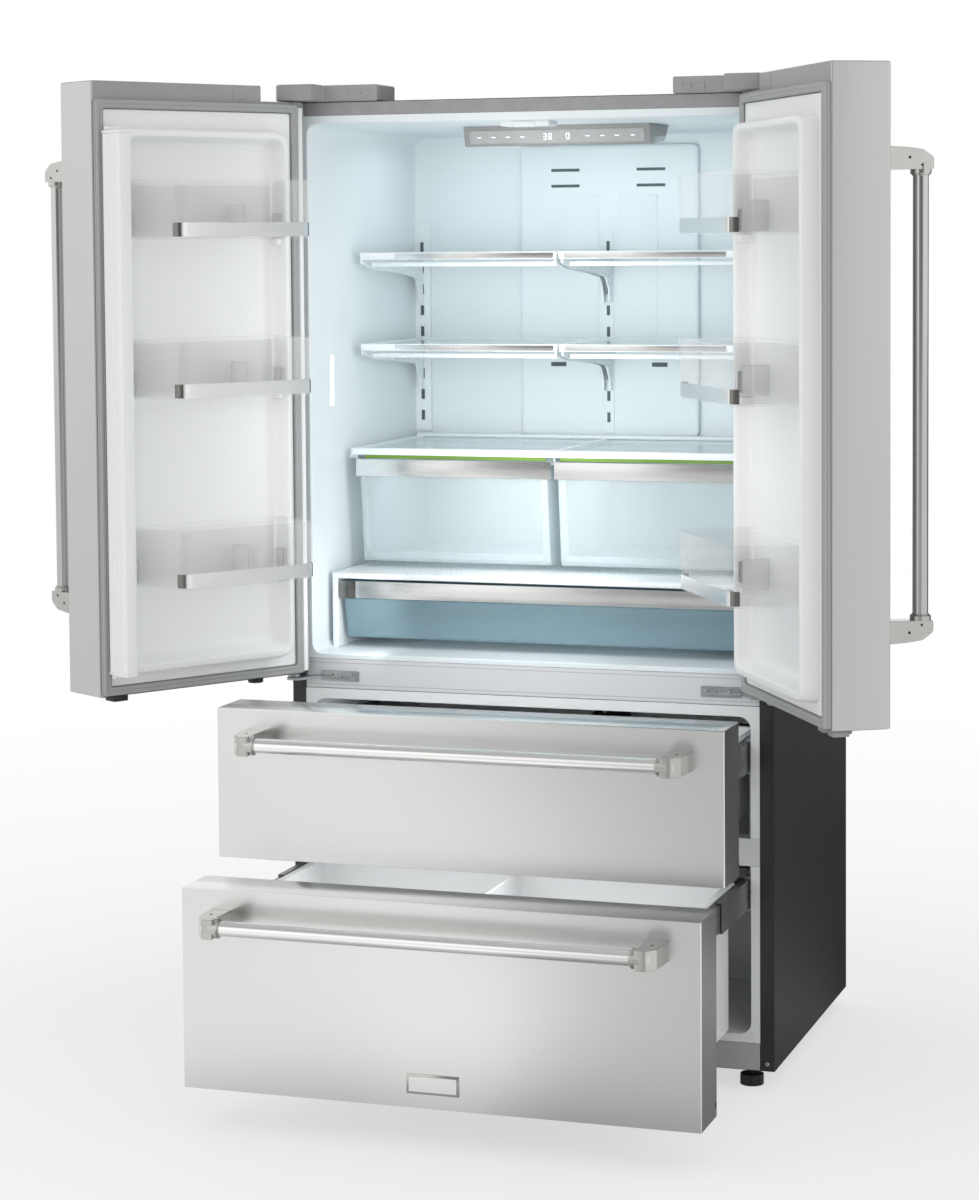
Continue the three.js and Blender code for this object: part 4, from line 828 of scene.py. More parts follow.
# thin mid-grey strip laid over the top of the case front
headStrip = {"half": 452.8, "foot": 1730.4, "top": 1753.8, "proud": 0.12}
shape = bmesh.new()
addBox(shape, -headStrip["half"], headStrip["half"], -headStrip["proud"], 0.6, headStrip["foot"],
       headStrip["top"], 0.1, 1)
finishPiece("case_head_strip", shape, cabinetPlace, headStripGrey, "cabinet")
softenNode("back_panel", "cabinet", zincSteel, 0.5)
softenNode("rear_cover", "cabinet", zincSteel, 0.3)
softenNode("compressor", "cabinet", blackEnamel, 0.8)
softenNode("condenser", "cabinet", blackEnamel, 0.3)
softenNode("evaporator", "cabinet", finAluminium, 0.3)
softenNode("condenser_fan", "condenser_fan", blackPart, 0.4)
softenNode("evaporator_fan", "evaporator_fan", blackPart, 0.4)
softenNode("center_rail", "cabinet", whitePaint, 2.0)
softenNode("freezer_liner", "cabinet", whiteFreezer, 1.2)
softenNode("freezer_crossbar", "cabinet", [whitePaint, zincSteel], 0.5, crossbarPart)
for side in ("left", "right"):
    softenNode("front_foot_" + side, "front_foot_" + side, blackPart, 0.8)
    softenNode("rear_roller_" + side, "rear_roller_" + side, blackPart, 0.8)
    softenNode("top_hinge_" + side, "cabinet", zincSteel, 0.6)
    softenNode("center_hinge_" + side, "cabinet", zincSteel, 0.6)
    softenNode("shelf_standard_" + side, "cabinet", whiteShelfPaintedLampTint, 0.6)

# fresh food liner: one moulding from the flange round to the rear wall
room = {"half": 412, "floor": 746, "ceiling": 1714, "depth": 556, "wall": 2.4, "flangeHalf": 428,
        "flangeTop": 1730, "flangeFoot": 736.3, "cornerRadius": 22}


def buildFreshLiner():
    m = room
    h, f, c, d, w, r = m["half"], m["floor"], m["ceiling"], m["depth"], m["wall"], m["cornerRadius"]
    shape = bmesh.new()
    loops = [
        rectLoop(-h + 24, h - 24, f + 22, c - 24, r, d, steps=8),
        rectLoop(-h + 8, h - 8, f + 7, c - 8, r + 6, d - 7, steps=8),
        rectLoop(-h + 2, h - 2, f + 2, c - 2, r + 4, d - 24, steps=8),
        rectLoop(-h, h, f, c, r, 8, steps=8),
        rectLoop(-h - 0.8, h + 0.8, f - 0.8, c + 0.8, r, 2.6, steps=8),
        rectLoop(-h - 3, h + 3, f - 2.4, c + 3, r + 1, 0.2, steps=8),
        rectLoop(-m["flangeHalf"], m["flangeHalf"], m["flangeFoot"], m["flangeTop"], 1, 0.0, steps=8),
        rectLoop(-m["flangeHalf"], m["flangeHalf"], m["flangeFoot"], m["flangeTop"], 1, 2.6, steps=8),
        rectLoop(-h - w, h + w, f - w, c + w, r + w, 2.7, steps=8),
        rectLoop(-h - w, h + w, f - w, c + w, r + w, d + w - 5, steps=8),
        rectLoop(-h - w + 5, h + w - 5, f - w + 5, c + w - 5, r, d + w, steps=8),
    ]
    addLoft(shape, loops)
    for side in (-1, 1):
        a, b = sorted((side * (h - 18), side * (h + 1)))
        addBox(shape, a, b, 190, 526, 1091.5, 1099.7, 2, 2)
    addBox(shape, -46, 46, 5.7, 58, 1705, 1714.5, 2.5, 2)
    addBox(shape, -20, 20, 3.4, 16, 1703, 1713, 2, 2)
    finishPiece("fresh_room_moulding", shape, cabinetPlace, whiteRoomPaintedLampTint, "cabinet", ("fresh_liner",),
                40)


buildFreshLiner()

# base strip below the freezer, and thin grey lines on the rail: painted shade of its two grooves
strips = {"half": 427.6, "foot": 33, "head": 80.6, "proud": 0.9, "lineWidth": 1, "lowLine": 688.5,
          "highLine": 728.5}
shape = bmesh.new()
addBox(shape, -strips["half"], strips["half"], -strips["proud"], 0.4, strips["foot"], strips["head"], 0.4, 1)
finishPiece("base_strip", shape, cabinetPlace, greyBase, "cabinet")
# grey lines on the rail: painted shade of its grooves
shape = bmesh.new()
for z in (strips["lowLine"], strips["highLine"]):
    reach = strips["half"] - 0.6
    addBox(shape, -reach, reach, -0.25, 0.4, z - strips["lineWidth"] / 2, z + strips["lineWidth"] / 2)
finishPiece("rail_lines", shape, cabinetPlace, greyBase, "cabinet")

cover = {"top": 1785, "foot": 1755.3, "windowX0": 292, "windowX1": 334, "windowZ0": 1760, "windowZ1": 1775}


def buildHingeCover(side, label):
    c = cover
    place = cabinetPlace @ Matrix.Diagonal((side, 1, 1, 1))
    plan = filleted([(276, -5), (382, -5), (382, -64), (444, -64), (453, -52), (453, 92), (276, 92)],
                    [3, 6, 8, 8, 6, 4, 4], 5)
    shape = bmesh.new()
    addPrism(shape, plan, "z", c["foot"], c["top"], rim=2.2)
    finishPiece("hinge_cover_shell_" + label, shape, place, coverGrey, "cabinet",
                ("hinge_cover_" + label,), 30)
    shape = bmesh.new()
    loops = [rectLoop(c["windowX0"] + i, c["windowX1"] - i, c["windowZ0"] + i, c["windowZ1"] - i, 1.5, y)
             for i, y in ((0, -4.6), (0, -5.9), (0.7, -6.3), (1.6, -6.3), (2.2, -5.7), (2.2, -5.2))]
    addLoft(shape, loops)
    finishPiece("hinge_cover_window_" + label, shape, place, capGrey, "cabinet")
    repeatPiece("hinge_cover_screw_" + label, screwHead(3.6, 2.2), 1, (308, -5.2, 1767.5), (1, 0, 0), place,
                screwSteel, "cabinet")
    repeatPiece("center_hinge_screws_" + label, screwHead(4.6, 2.6), 2, (335, -3, 704.5), (40, 0, 0), place,
                screwSteel, "cabinet")
    repeatPiece("case_screw_" + label, screwHead(3.8, 2), 1, (441, 0, 45), (1, 0, 0), place,
                screwSteel, "cabinet")


for side, label in ((-1, "left"), (1, "right")):
    buildHingeCover(side, label)

# inside the fresh food room
print("interior")
rearWall = 555.7
duct = {"half": 181, "foot": 1116, "head": 1686, "depth": 14}


def buildDuctCover():
    d = duct
    front = rearWall - d["depth"]
    shape = bmesh.new()
    loops = [rectLoop(-d["half"] + i, d["half"] - i, d["foot"] + j, d["head"] - i, 12, y, steps=6)
             for i, j, y in ((0, 0, rearWall), (0, 0, front + 6), (1.2, 0.6, front + 2), (4, 2, front + 0.4),
                             (8, 4, front))]
    addLoft(shape, loops)
    for x0, x1 in ((-100, -20), (20, 100)):
        addBox(shape, x0, x1, front - 1.3, front + 2, 1290, 1590, 1.2, 2)
    addBox(shape, -11, 11, front - 2, front + 1, 1122, 1521, 0.8, 1)
    finishPiece("duct_cover_moulding", shape, cabinetPlace, whiteRoomPaintedLampTint, "cabinet", ("duct_cover",),
                35)
    shape = bmesh.new()
    for side in (-1, 1):
        for z in (1607, 1638):
            loops = [rectLoop(side * 87 - 31 + i, side * 87 + 31 - i, z - 5 + i, z + 5 - i, 3, y)
                     for i, y in ((0, front + 0.5), (0, front - 0.9), (0.8, front - 1.2), (1.5, front - 0.7))]
            addLoft(shape, loops)
    finishPiece("duct_vent_rims", shape, cabinetPlace, whiteShelfPaintedLampTint, "cabinet")
    # dark plates set inside the vent rims: painted shade of the openings
    shape = bmesh.new()
    for side in (-1, 1):
        for z in (1607, 1638):
            addBox(shape, side * 87 - 29.2, side * 87 + 29.2, front - 0.85, front, z - 3.2, z + 3.2, 1, 1)
        addBox(shape, side * 103 - 16, side * 103 + 16, front - 0.5, front + 1, 1252.5, 1261.5, 1, 1)
    finishPiece("duct_vent_slots", shape, cabinetPlace, slotPaintedShade, "cabinet")


buildDuctCover()

slots = {"head": 1499, "pitch": 42, "height": 20, "count": 9}
# dark plates in the standards' slots: painted shade of the openings
for label, x, y in (("left", -390, rearWall - 8), ("right", 390, rearWall - 8), ("center", 0, rearWall - 16)):
    shape = bmesh.new()
    addBox(shape, -3.3, 3.3, -0.35, 1.2, -9.7, 9.7, 0.3, 1)
    repeatPiece("standard_slots_" + label, shape, slots["count"], (x, y, slots["head"] - slots["height"] / 2),
                (0, 0, -slots["pitch"]), cabinetPlace, slotPaintedShade, "cabinet")

shelf = {"front": 200, "rim": 10, "plate": 7, "trim": 13.5, "half": 391, "middle": 1.5, "railDrop": 21,
         "bracketSheet": 4}


def bracketOutline(top, face):
    s = shelf
    under = top - s["plate"] + 0.6
    return filleted([
        (s["front"] + 10, under), (s["front"] + 6, under - 4), (s["front"] + 8, under - 15),
        (s["front"] + 60, under - 24), (face - 110, under - 36), (face - 40, under - 44),
        (face - 20, under - 66), (face - 15, under - 95), (face, under - 96), (face, under)],
        [2, 3, 5, 40, 60, 30, 25, 3, 1, 0], 8)


def buildShelf(side, top, label):
    s = shelf
    x0, x1 = (-s["half"], -s["middle"]) if side < 0 else (s["middle"], s["half"])
    sideFace, midFace = rearWall - 8.4, rearWall - 16.4
    back = midFace - 5
    rim = s["rim"]
    shape = bmesh.new()
    # white frame round the glass
    frameLoops = [(0, 0, top - 6.4), (0, 0, top - 1.2), (1.2, 1.2, top), (rim - 1, rim - 1, top),
                  (rim, rim, top - 0.8), (rim, rim, top - 6.4)]
    loops = [rectLoop(x0 + i, x1 - i, s["front"] + j, back - j, 3, z, "z") for i, j, z in frameLoops]
    addLoft(shape, loops, 0, closed=True)
    addBox(shape, x0 + 0.6, x1 - 0.6, s["front"] + 0.4, s["front"] + rim, top - s["trim"], top - 5, 1.6, 2)
    # lower rail behind the front edge, with its curled outer end
    rail = top - s["railDrop"]
    addBox(shape, x0 + 14, x1 - 8, s["front"] + 26, s["front"] + 33, rail - 6, rail + 3, 2, 2)
    for x, face in ((side * 390, sideFace), (side * 6.5, midFace)):
        w = s["bracketSheet"] / 2
        addPrism(shape, bracketOutline(top, face), "x", x - w, x + w, rim=0.7)
    finishPiece(f"shelf_frame_{label}", shape, cabinetPlace, whiteShelfPaintedLampTint, "cabinet", (f"shelf_{label}",),
                35)
    shape = bmesh.new()
    addBox(shape, x0 + rim - 1, x1 - rim + 1, s["front"] + rim - 1, back - rim + 1, top - 5, top - 1.2,
           0.5, 1)
    finishPiece(f"shelf_pane_{label}", shape, cabinetPlace, paneGlass, "cabinet", ())
    shape = bmesh.new()
    t0, t1 = (x0 + 70, x1 - 6) if side < 0 else (x0 + 12, x1 - 70)
    addBox(shape, t0, t1, s["front"] - 0.9, s["front"] + 1.5, top - s["trim"] + 1.6, top - 1.6, 0.6, 2)
    finishPiece(f"shelf_trim_{label}", shape, cabinetPlace, trimSteel, "cabinet")


for side, word in ((-1, "left"), (1, "right")):
    buildShelf(side, 1480, "upper_" + word)
    buildShelf(side, 1308, "lower_" + word)

crisper = {"half": 398, "front": 160, "top": 1113, "lid": 13, "floor": 898, "rim": 1093, "rake": 18,
           "back": 529.7, "wall": 2.6, "bandFoot": 1060}


def buildCrisperLid():
    c = crisper
    back = rearWall - 19
    z0, z1 = c["top"] - c["lid"], c["top"]
    shape = bmesh.new()
    half = c["half"]
    section = ((0.6, z0 + 0.6), (0, z0 + 2), (0, z1 - 1.6), (1.6, z1), (18, z1), (20, z1 - 1.2),
               (20, z0 + 0.6))
    loops = [rectLoop(-half + i, half - i, c["front"] + i, back - i, 5, z, "z") for i, z in section]
    addLoft(shape, loops, 0, closed=True)
    addBox(shape, -5, 5, c["front"] + 8, back - 8, z0 + 1, z1 - 0.4, 1, 1)
    addBox(shape, -half + 8, half - 8, back - 30, back - 2, z1 - 1, z1 + 6, 2.5, 2)
    # hangers the crispers slide on
    for x0, x1 in ((-1.5, 1.5), (-half + 6.5, -half + 9), (half - 9, half - 6.5)):
        addBox(shape, x0, x1, c["front"] + 14, back, 1086.7, z0 + 7, 0.4, 1)
    for x0, x1 in ((-7.5, 7.5), (-half + 6.5, -half + 15), (half - 15, half - 6.5)):
        addBox(shape, x0, x1, c["front"] + 14, back, 1086.7, 1089.7, 0.8, 1)
    finishPiece("crisper_lid_frame", shape, cabinetPlace, whiteShelfPaintedLampTint, "cabinet", ("crisper_shelf",),
                35)
    shape = bmesh.new()
    for x0, x1 in ((-half + 19, -4.5), (4.5, half - 19)):
        addBox(shape, x0, x1, c["front"] + 19, back - 29, z1 - 6, z1 - 1.5, 0.5, 1)
    finishPiece("crisper_lid_glass", shape, cabinetPlace, paneGlass, "cabinet", ())
    shape = bmesh.new()
    for x0, x1 in ((-half + 28, -14), (14, half - 30)):
        addBox(shape, x0, x1, c["front"] + 4, c["front"] + 9, 1094.2, z0 + 0.8, 0.6, 1)
    finishPiece("crisper_lid_strip", shape, cabinetPlace, greenStrip, "cabinet")


buildCrisperLid()


def addRakedTub(shape, x0, x1, profile):
    # An open-topped tub from a side profile [y, z]: floor front, floor back, top back, top front, knee.
    wall = crisper["wall"]
    for a, b in ((x0, x0 + wall), (x1 - wall, x1)):
        addPrism(shape, filleted(profile, [10, 14, 1, 1, 3], 5), "x", a, b, rim=0.6)
    (y0, z), (y1, _), (_, head), _, (kneeY, kneeZ) = profile
    addBox(shape, x0 + 1, x1 - 1, y0 + 6, y1 - 2, z, z + wall, 0.6, 1)
    addBox(shape, x0 + 1, x1 - 1, y1 - wall, y1, z + 1, head, 0.6, 1)
    # raked front sheet with a rounded foot
    front = [(kneeY, kneeZ), (y0, z), (y0 + 16, z), (y0 + 16, z + wall), (y0 + wall + 0.8, z + wall),
             (kneeY + wall, kneeZ)]
    addPrism(shape, filleted(front, [0.4, 8, 0, 0, 6, 0.4], 5), "x", x0 + 0.8, x1 - 0.8, rim=0.5)


def buildCrisper(side, label):
    c = crisper
    body = "crisper_" + label
    edge = c["half"] - 18
    x0, x1 = (-edge, -10) if side < 0 else (10, edge)
    r0, r1 = (-c["half"] + 9.4, -1.9) if side < 0 else (1.9, c["half"] - 9.4)
    y0 = c["front"] + 4
    shape = bmesh.new()
    addRakedTub(shape, x0, x1, [(y0 + c["rake"], c["floor"]), (c["back"], c["floor"]),
                                (c["back"], c["rim"] - 3), (y0 + 4, c["rim"] - 3), (y0 + 1, c["rim"] - 32)])
    for a, b in ((min(r0, x0), max(x0 + 2, r0)), (min(x1 - 2, r1), max(r1, x1))):
        addBox(shape, a, b, c["front"] + 13, c["back"], c["rim"] - 3, c["rim"], 0.8, 1)
    # moulded border of the front window
    for a, b in ((x0 + 1, x0 + 15), (x1 - 15, x1 - 1)):
        addPrism(shape, [(y0 + 0.4, c["rim"] - 34), (y0 + c["rake"] - 0.8, c["floor"] + 10),
                         (y0 + c["rake"] + 4, c["floor"] + 10), (y0 + 5, c["rim"] - 34)], "x", a, b, rim=0.8)
    addPrism(shape, [(y0 + c["rake"] - 2.2, c["floor"] + 20), (y0 + c["rake"] - 0.8, c["floor"] + 8),
                     (y0 + c["rake"] + 5, c["floor"] + 8), (y0 + c["rake"] + 3, c["floor"] + 20)], "x",
             x0 + 2, x1 - 2, rim=0.8)
    finishPiece(f"crisper_tub_{label}", shape, cabinetPlace, crisperClear, body, (f"crisper_{label}",),
                35)
    shape = bmesh.new()
    addBox(shape, r0 + 1, r1 - 1, c["front"] + 1.6, c["front"] + 5.6, c["bandFoot"], c["rim"] - 0.5, 1.2, 2)
    finishPiece(f"crisper_band_{label}", shape, cabinetPlace, trimSteel, body)


buildCrisper(-1, "left")
buildCrisper(1, "right")

deli = {"half": 402, "front": 68, "top": 887, "plate": 11, "wall": 12, "floor": 764, "rim": 872,
        "drawerHalf": 388.8}


def buildDeli():
    d = deli
    back = rearWall - 20
    z0 = d["top"] - d["plate"]
    shape = bmesh.new()
    addBox(shape, -d["half"], d["half"], d["front"], back, z0, d["top"], 3, 3)
    addBox(shape, -d["half"] + 6, d["half"] - 6, back - 26, back - 3, d["top"] - 1, d["top"] + 5, 2, 2)
    for s in (-1, 1):
        a, b = sorted((s * d["half"], s * (d["half"] - d["wall"])))
        addBox(shape, a, b, d["front"] + 1, back, 746.4, z0 + 2, 3, 3)
        a, b = sorted((s * (d["half"] - 2), s * (d["half"] - d["wall"] - 8)))
        addBox(shape, a, b, d["front"] + 12, back, d["rim"] - 14, d["rim"] - 4.4, 1.5, 2)
    finishPiece("deli_cover", shape, cabinetPlace, whiteShelfPaintedLampTint, "cabinet", ("deli_shelf",))
    half = d["drawerHalf"]
    inner = half - 10
    y0 = d["front"] + 4
    shape = bmesh.new()
    addRakedTub(shape, -inner, inner, [(y0 + 18, d["floor"]), (back - 10, d["floor"]),
                                       (back - 10, d["rim"] - 3), (y0 + 3, d["rim"] - 3),
                                       (y0, d["rim"] - 33)])
    for s in (-1, 1):
        a, b = sorted((s * half, s * (inner - 1)))
        addBox(shape, a, b, y0 + 16, back - 12, d["rim"] - 3.6, d["rim"] - 0.6, 0.8, 1)
    finishPiece("deli_tray", shape, cabinetPlace, deliClear, "deli_drawer", ("deli_drawer",), 35)
    groove = bmesh.new()
    addBox(groove, -inner + 16, inner - 16, -1.5, 1.5, -0.6, 1.2, 0.5, 1)
    repeatPiece("deli_tray_ribs", groove, 22, (0, y0 + 40, d["floor"] + 3.2), (0, 19, 0), cabinetPlace,
                deliClear, "deli_drawer")
    shape = bmesh.new()
    addBox(shape, -half + 1, half - 1, y0 - 3, y0 + 1, d["rim"] - 32, d["rim"], 1.2, 2)
    finishPiece("deli_band", shape, cabinetPlace, trimSteel, "deli_drawer")
    # dark piece on the band's left end: painted shade
    shape = bmesh.new()
    addBox(shape, -half + 0.2, -half + 34, y0 - 3.4, y0 + 0.6, d["rim"] - 32, d["rim"], 1.2, 2)
    finishPiece("deli_band_end", shape, cabinetPlace, trimPaintedShade, "deli_drawer")


buildDeli()

panel = {"half": 180, "front": 196, "top": 1713.7, "drop": 38, "lean": 9}


def buildControlPanel():
    p = panel
    foot = p["top"] - p["drop"]
    shape = bmesh.new()
    profile = filleted([(p["front"], p["top"]), (p["front"], p["top"] - 4), (p["front"] + p["lean"], foot),
                        (p["front"] + 104, foot + 8), (p["front"] + 134, p["top"])], [1, 2, 4, 8, 1], 4)
    addPrism(shape, profile, "x", -p["half"], p["half"], rim=1.5)
    finishPiece("control_housing", shape, cabinetPlace, coverGrey, "cabinet", ("control_panel",),
                35)
    # fascia laid on the sloping face, with a readout and small key marks
    up = Vector((0, p["lean"] * -1.0, p["drop"] - 4)).normalized()
    out = Vector((0, -up.z, up.y))
    base = Vector((0, p["front"] + p["lean"] / 2, (foot + p["top"] - 4) / 2))

    def onFace(x, v, lift):
        return base + Vector((x, 0, 0)) + up * v + out * lift

    def plate(shape, x0, x1, v0, v1, lift, thick):
        loops = [[onFace(x0, v0, a), onFace(x1, v0, a), onFace(x1, v1, a), onFace(x0, v1, a)]
                 for a in (lift - thick, lift)]
        addLoft(shape, loops)

    shape = bmesh.new()
    plate(shape, -168, 168, -12, 12.5, 0.9, 2.5)
    finishPiece("control_glass", shape, cabinetPlace, panelGlass, "cabinet", ())
    shape = bmesh.new()
    # seven-segment digits: a generic temperature readout
    segments = {"3": "abgcd", "8": "abcdefg", "0": "abcdef"}
    for x, digit in ((-22, "3"), (-12, "8"), (22, "0")):
        w, h, t = 2.6, 5.2, 0.55
        lines = {"a": (-w, w, h, h), "g": (-w, w, 0, 0), "d": (-w, w, -h, -h), "b": (w, w, 0, h),
                 "c": (w, w, -h, 0), "f": (-w, -w, 0, h), "e": (-w, -w, -h, 0)}
        for key in segments[digit]:
            a, b, c, d = lines[key]
            plate(shape, x + a - t, x + b + t, c - t, d + t, 1.2, 0.6)
    for x in (-150, -122, -94, -66, 60, 88, 116, 146):
        plate(shape, x - 4, x + 4, -1, 0.4, 1.2, 0.6)
    finishPiece("control_marks", shape, cabinetPlace, lampWhite, "cabinet")


buildControlPanel()

# strip lamps: ceiling and both side walls
shape = bmesh.new()
addBox(shape, -90, 90, 350, 384, 1711.6, 1714, 1, 1)
for s in (-1, 1):
    a, b = sorted((s * 412.2, s * 410.6))
    addBox(shape, a, b, 96, 112, 1196, 1290, 0.6, 1)
finishPiece("room_lamps", shape, cabinetPlace, lampWhite, "cabinet")

print("stage")
# stage, light and camera
scene = bpy.context.scene
scene.view_settings.view_transform = "Standard"

studio = {"floorTone": 0.86, "fill": 0.80, "mirror": 1.08}


def mathNode(tree, kind, a, b=None, c=None):
    made = tree.nodes.new("ShaderNodeMath")
    made.operation = kind
    for socket, value in zip(made.inputs, (a, b, c)):
        if isinstance(value, (int, float)):
            socket.default_value = value
        elif value is not None:
            tree.links.new(value, socket)
    return made.outputs[0]


def rampNode(tree, value, stops):
    made = tree.nodes.new("ShaderNodeValToRGB")
    points = made.color_ramp.elements
    while len(points) < len(stops):
        points.new(0.5)
    for point, (at, tone) in zip(points, stops):
        point.position = at
        point.color = (tone, tone, tone, 1)
    tree.links.new(value, made.inputs["Fac"])
    return made.outputs["Color"]


# tone of the studio by direction: 0.5 is straight ahead of the doors, 0.45 is 18 degrees to their left
wallTones = [(0.0, 0.9), (0.30, 0.95), (0.43, 1.0), (0.448, 1.0), (0.468, 0.3), (0.56, 0.14),
             (0.61, 0.3), (0.635, 0.93), (0.86, 0.93), (0.90, 0.12), (0.98, 0.12), (1.0, 0.6)]
floorTones = [(0.0, 0.85), (0.30, 0.9), (0.41, 0.87), (0.44, 0.9), (0.46, 1.0), (0.484, 1.0), (0.498, 0.76),
              (0.518, 0.60), (0.56, 0.55), (0.61, 0.5), (0.635, 0.93), (0.86, 0.93), (0.90, 0.12),
              (0.98, 0.12), (1.0, 0.6)]
# tones by height in the world (0.5 is level), and by distance on the floor in tens of metres; the first
# distance table darkens the floor near the object as mirrors see it, a painted shadow
heightTones = [(0.5, 1.0), (0.74, 1.0), (0.86, 0.35), (0.95, 0.45)]
mirrorPaintedShadow = [(0.05, 0.35), (0.08, 0.6), (0.115, 1.0), (0.2, 1.0), (0.3, 0.88)]
shadowReach = [(0.1, 0.62), (0.2, 0.8), (0.42, 1.0)]


def roomTone(tree, parts, tones, swing=0.5):
    turn = mathNode(tree, "ARCTAN2", parts.outputs["X"], mathNode(tree, "MULTIPLY", parts.outputs["Y"], -1.0))
    turn = mathNode(tree, "MULTIPLY_ADD", turn, 1 / (2 * math.pi), swing)
    return rampNode(tree, turn, tones)


def anyMirror(tree):
    # 1 on camera, glossy and transmission rays, 0 on the rays that light the object
    ray = tree.nodes.new("ShaderNodeLightPath")
    total = ray.outputs["Is Camera Ray"]
    for key in ("Is Glossy Ray", "Is Transmission Ray"):
        total = mathNode(tree, "MAXIMUM", total, ray.outputs[key])
    return ray, total


def buildFloorFinish():
    # pale floor, white far off, with a light shadow near the object; mirrors see the studio's tones and a
    # painted shadow near the object
    made = bpy.data.materials.new("floorPale")
    made.use_nodes = True
    tree = made.node_tree
    link = tree.links.new
    shader = tree.nodes["Principled BSDF"]
    shader.inputs["Base Color"].default_value = (*[studio["floorTone"]] * 3, 1)
    shader.inputs["Roughness"].default_value = 0.9
    place = tree.nodes.new("ShaderNodeTexCoord")
    parts = tree.nodes.new("ShaderNodeSeparateXYZ")
    link(place.outputs["Object"], parts.inputs["Vector"])
    reach = tree.nodes.new("ShaderNodeVectorMath")
    reach.operation = "LENGTH"
    link(place.outputs["Object"], reach.inputs[0])
    far = mathNode(tree, "MULTIPLY", reach.outputs["Value"], 0.1)
    ray, seen = anyMirror(tree)
    mirrorTone = tree.nodes.new("ShaderNodeMix")
    mirrorTone.data_type = "RGBA"
    mirrorTone.blend_type = "MULTIPLY"
    mirrorTone.inputs["Factor"].default_value = 1.0
    swing = mathNode(tree, "MULTIPLY_ADD", mathNode(tree, "MINIMUM", far, 0.35), 0.2, 0.472)
    link(roomTone(tree, parts, floorTones, swing), mirrorTone.inputs["A"])
    link(rampNode(tree, far, mirrorPaintedShadow), mirrorTone.inputs["B"])
    tone = tree.nodes.new("ShaderNodeMix")
    tone.data_type = "RGBA"
    link(ray.outputs["Is Glossy Ray"], tone.inputs["Factor"])
    tone.inputs["A"].default_value = (1, 1, 1, 1)
    link(mirrorTone.outputs["Result"], tone.inputs["B"])
    glow = tree.nodes.new("ShaderNodeEmission")
    link(tone.outputs["Result"], glow.inputs["Color"])
    shade = mathNode(tree, "MAXIMUM", rampNode(tree, far, shadowReach), ray.outputs["Is Glossy Ray"])
    blend = tree.nodes.new("ShaderNodeMixShader")
    link(mathNode(tree, "MULTIPLY", seen, shade), blend.inputs["Fac"])
    link(shader.outputs["BSDF"], blend.inputs[1])
    link(glow.outputs["Emission"], blend.inputs[2])
    link(blend.outputs["Shader"], tree.nodes["Material Output"].inputs["Surface"])
    return made


floorMaterial = buildFloorFinish()
shape = bmesh.new()
bmesh.ops.create_grid(shape, x_segments=1, y_segments=1, size=30)
mesh = bpy.data.meshes.new("studioFloor")
shape.to_mesh(mesh)
shape.free()
floor = bpy.data.objects.new("studioFloor", mesh)
bpy.context.collection.objects.link(floor)
mesh.materials.append(floorMaterial)


def buildWorld():
    # white to the eye; mirrors see the studio's tones, darker overhead
    world = bpy.data.worlds.new("studio")
    scene.world = world
    world.use_nodes = True
    tree = world.node_tree
    tree.nodes.clear()
    add, link = tree.nodes.new, tree.links.new

    def background(strength):
        made = add("ShaderNodeBackground")
        made.inputs["Color"].default_value = (1, 1, 1, 1)
        made.inputs["Strength"].default_value = strength
        return made

    place = add("ShaderNodeTexCoord")
    parts = add("ShaderNodeSeparateXYZ")
    link(place.outputs["Generated"], parts.inputs["Vector"])
    height = mathNode(tree, "MULTIPLY_ADD", parts.outputs["Z"], 0.5, 0.5)
    mirror = background(studio["mirror"])
    tinted = add("ShaderNodeMix")
    tinted.data_type = "RGBA"
    tinted.blend_type = "MULTIPLY"
    tinted.inputs["Factor"].default_value = 1.0
    link(roomTone(tree, parts, wallTones), tinted.inputs["A"])
    link(rampNode(tree, height, heightTones), tinted.inputs["B"])
    link(tinted.outputs["Result"], mirror.inputs["Color"])
    ray = add("ShaderNodeLightPath")
    toMirror = add("ShaderNodeMixShader")
    link(mathNode(tree, "MAXIMUM", ray.outputs["Is Glossy Ray"], ray.outputs["Is Transmission Ray"]),
         toMirror.inputs["Fac"])
    link(background(studio["fill"]).outputs[0], toMirror.inputs[1])
    link(mirror.outputs[0], toMirror.inputs[2])
    toEye = add("ShaderNodeMixShader")
    link(ray.outputs["Is Camera Ray"], toEye.inputs["Fac"])
    link(toMirror.outputs[0], toEye.inputs[1])
    link(background(1.0).outputs[0], toEye.inputs[2])
    link(toEye.outputs[0], add("ShaderNodeOutputWorld").inputs["Surface"])


buildWorld()


def addLamp(name, place, aim, power, size, color=(1, 1, 1), spread=180):
    # A soft rectangle of light that neither the eye nor a mirror sees.
    data = bpy.data.lights.new(name, "AREA")
    data.energy = power
    data.color = color
    data.shape = "RECTANGLE"
    data.size, data.size_y = size
    data.spread = math.radians(spread)
    lamp = bpy.data.objects.new(name, data)
    bpy.context.collection.objects.link(lamp)
    lamp.location = place
    lamp.visible_camera = False
    lamp.visible_glossy = False
    lamp.rotation_mode = "QUATERNION"
    lamp.rotation_quaternion = (Vector(aim) - Vector(place)).to_track_quat("-Z", "Y")


frontY = flangeY * 0.001
paleBlue, softWhite = (0.88, 0.98, 1.0), (0.97, 0.99, 1.0)
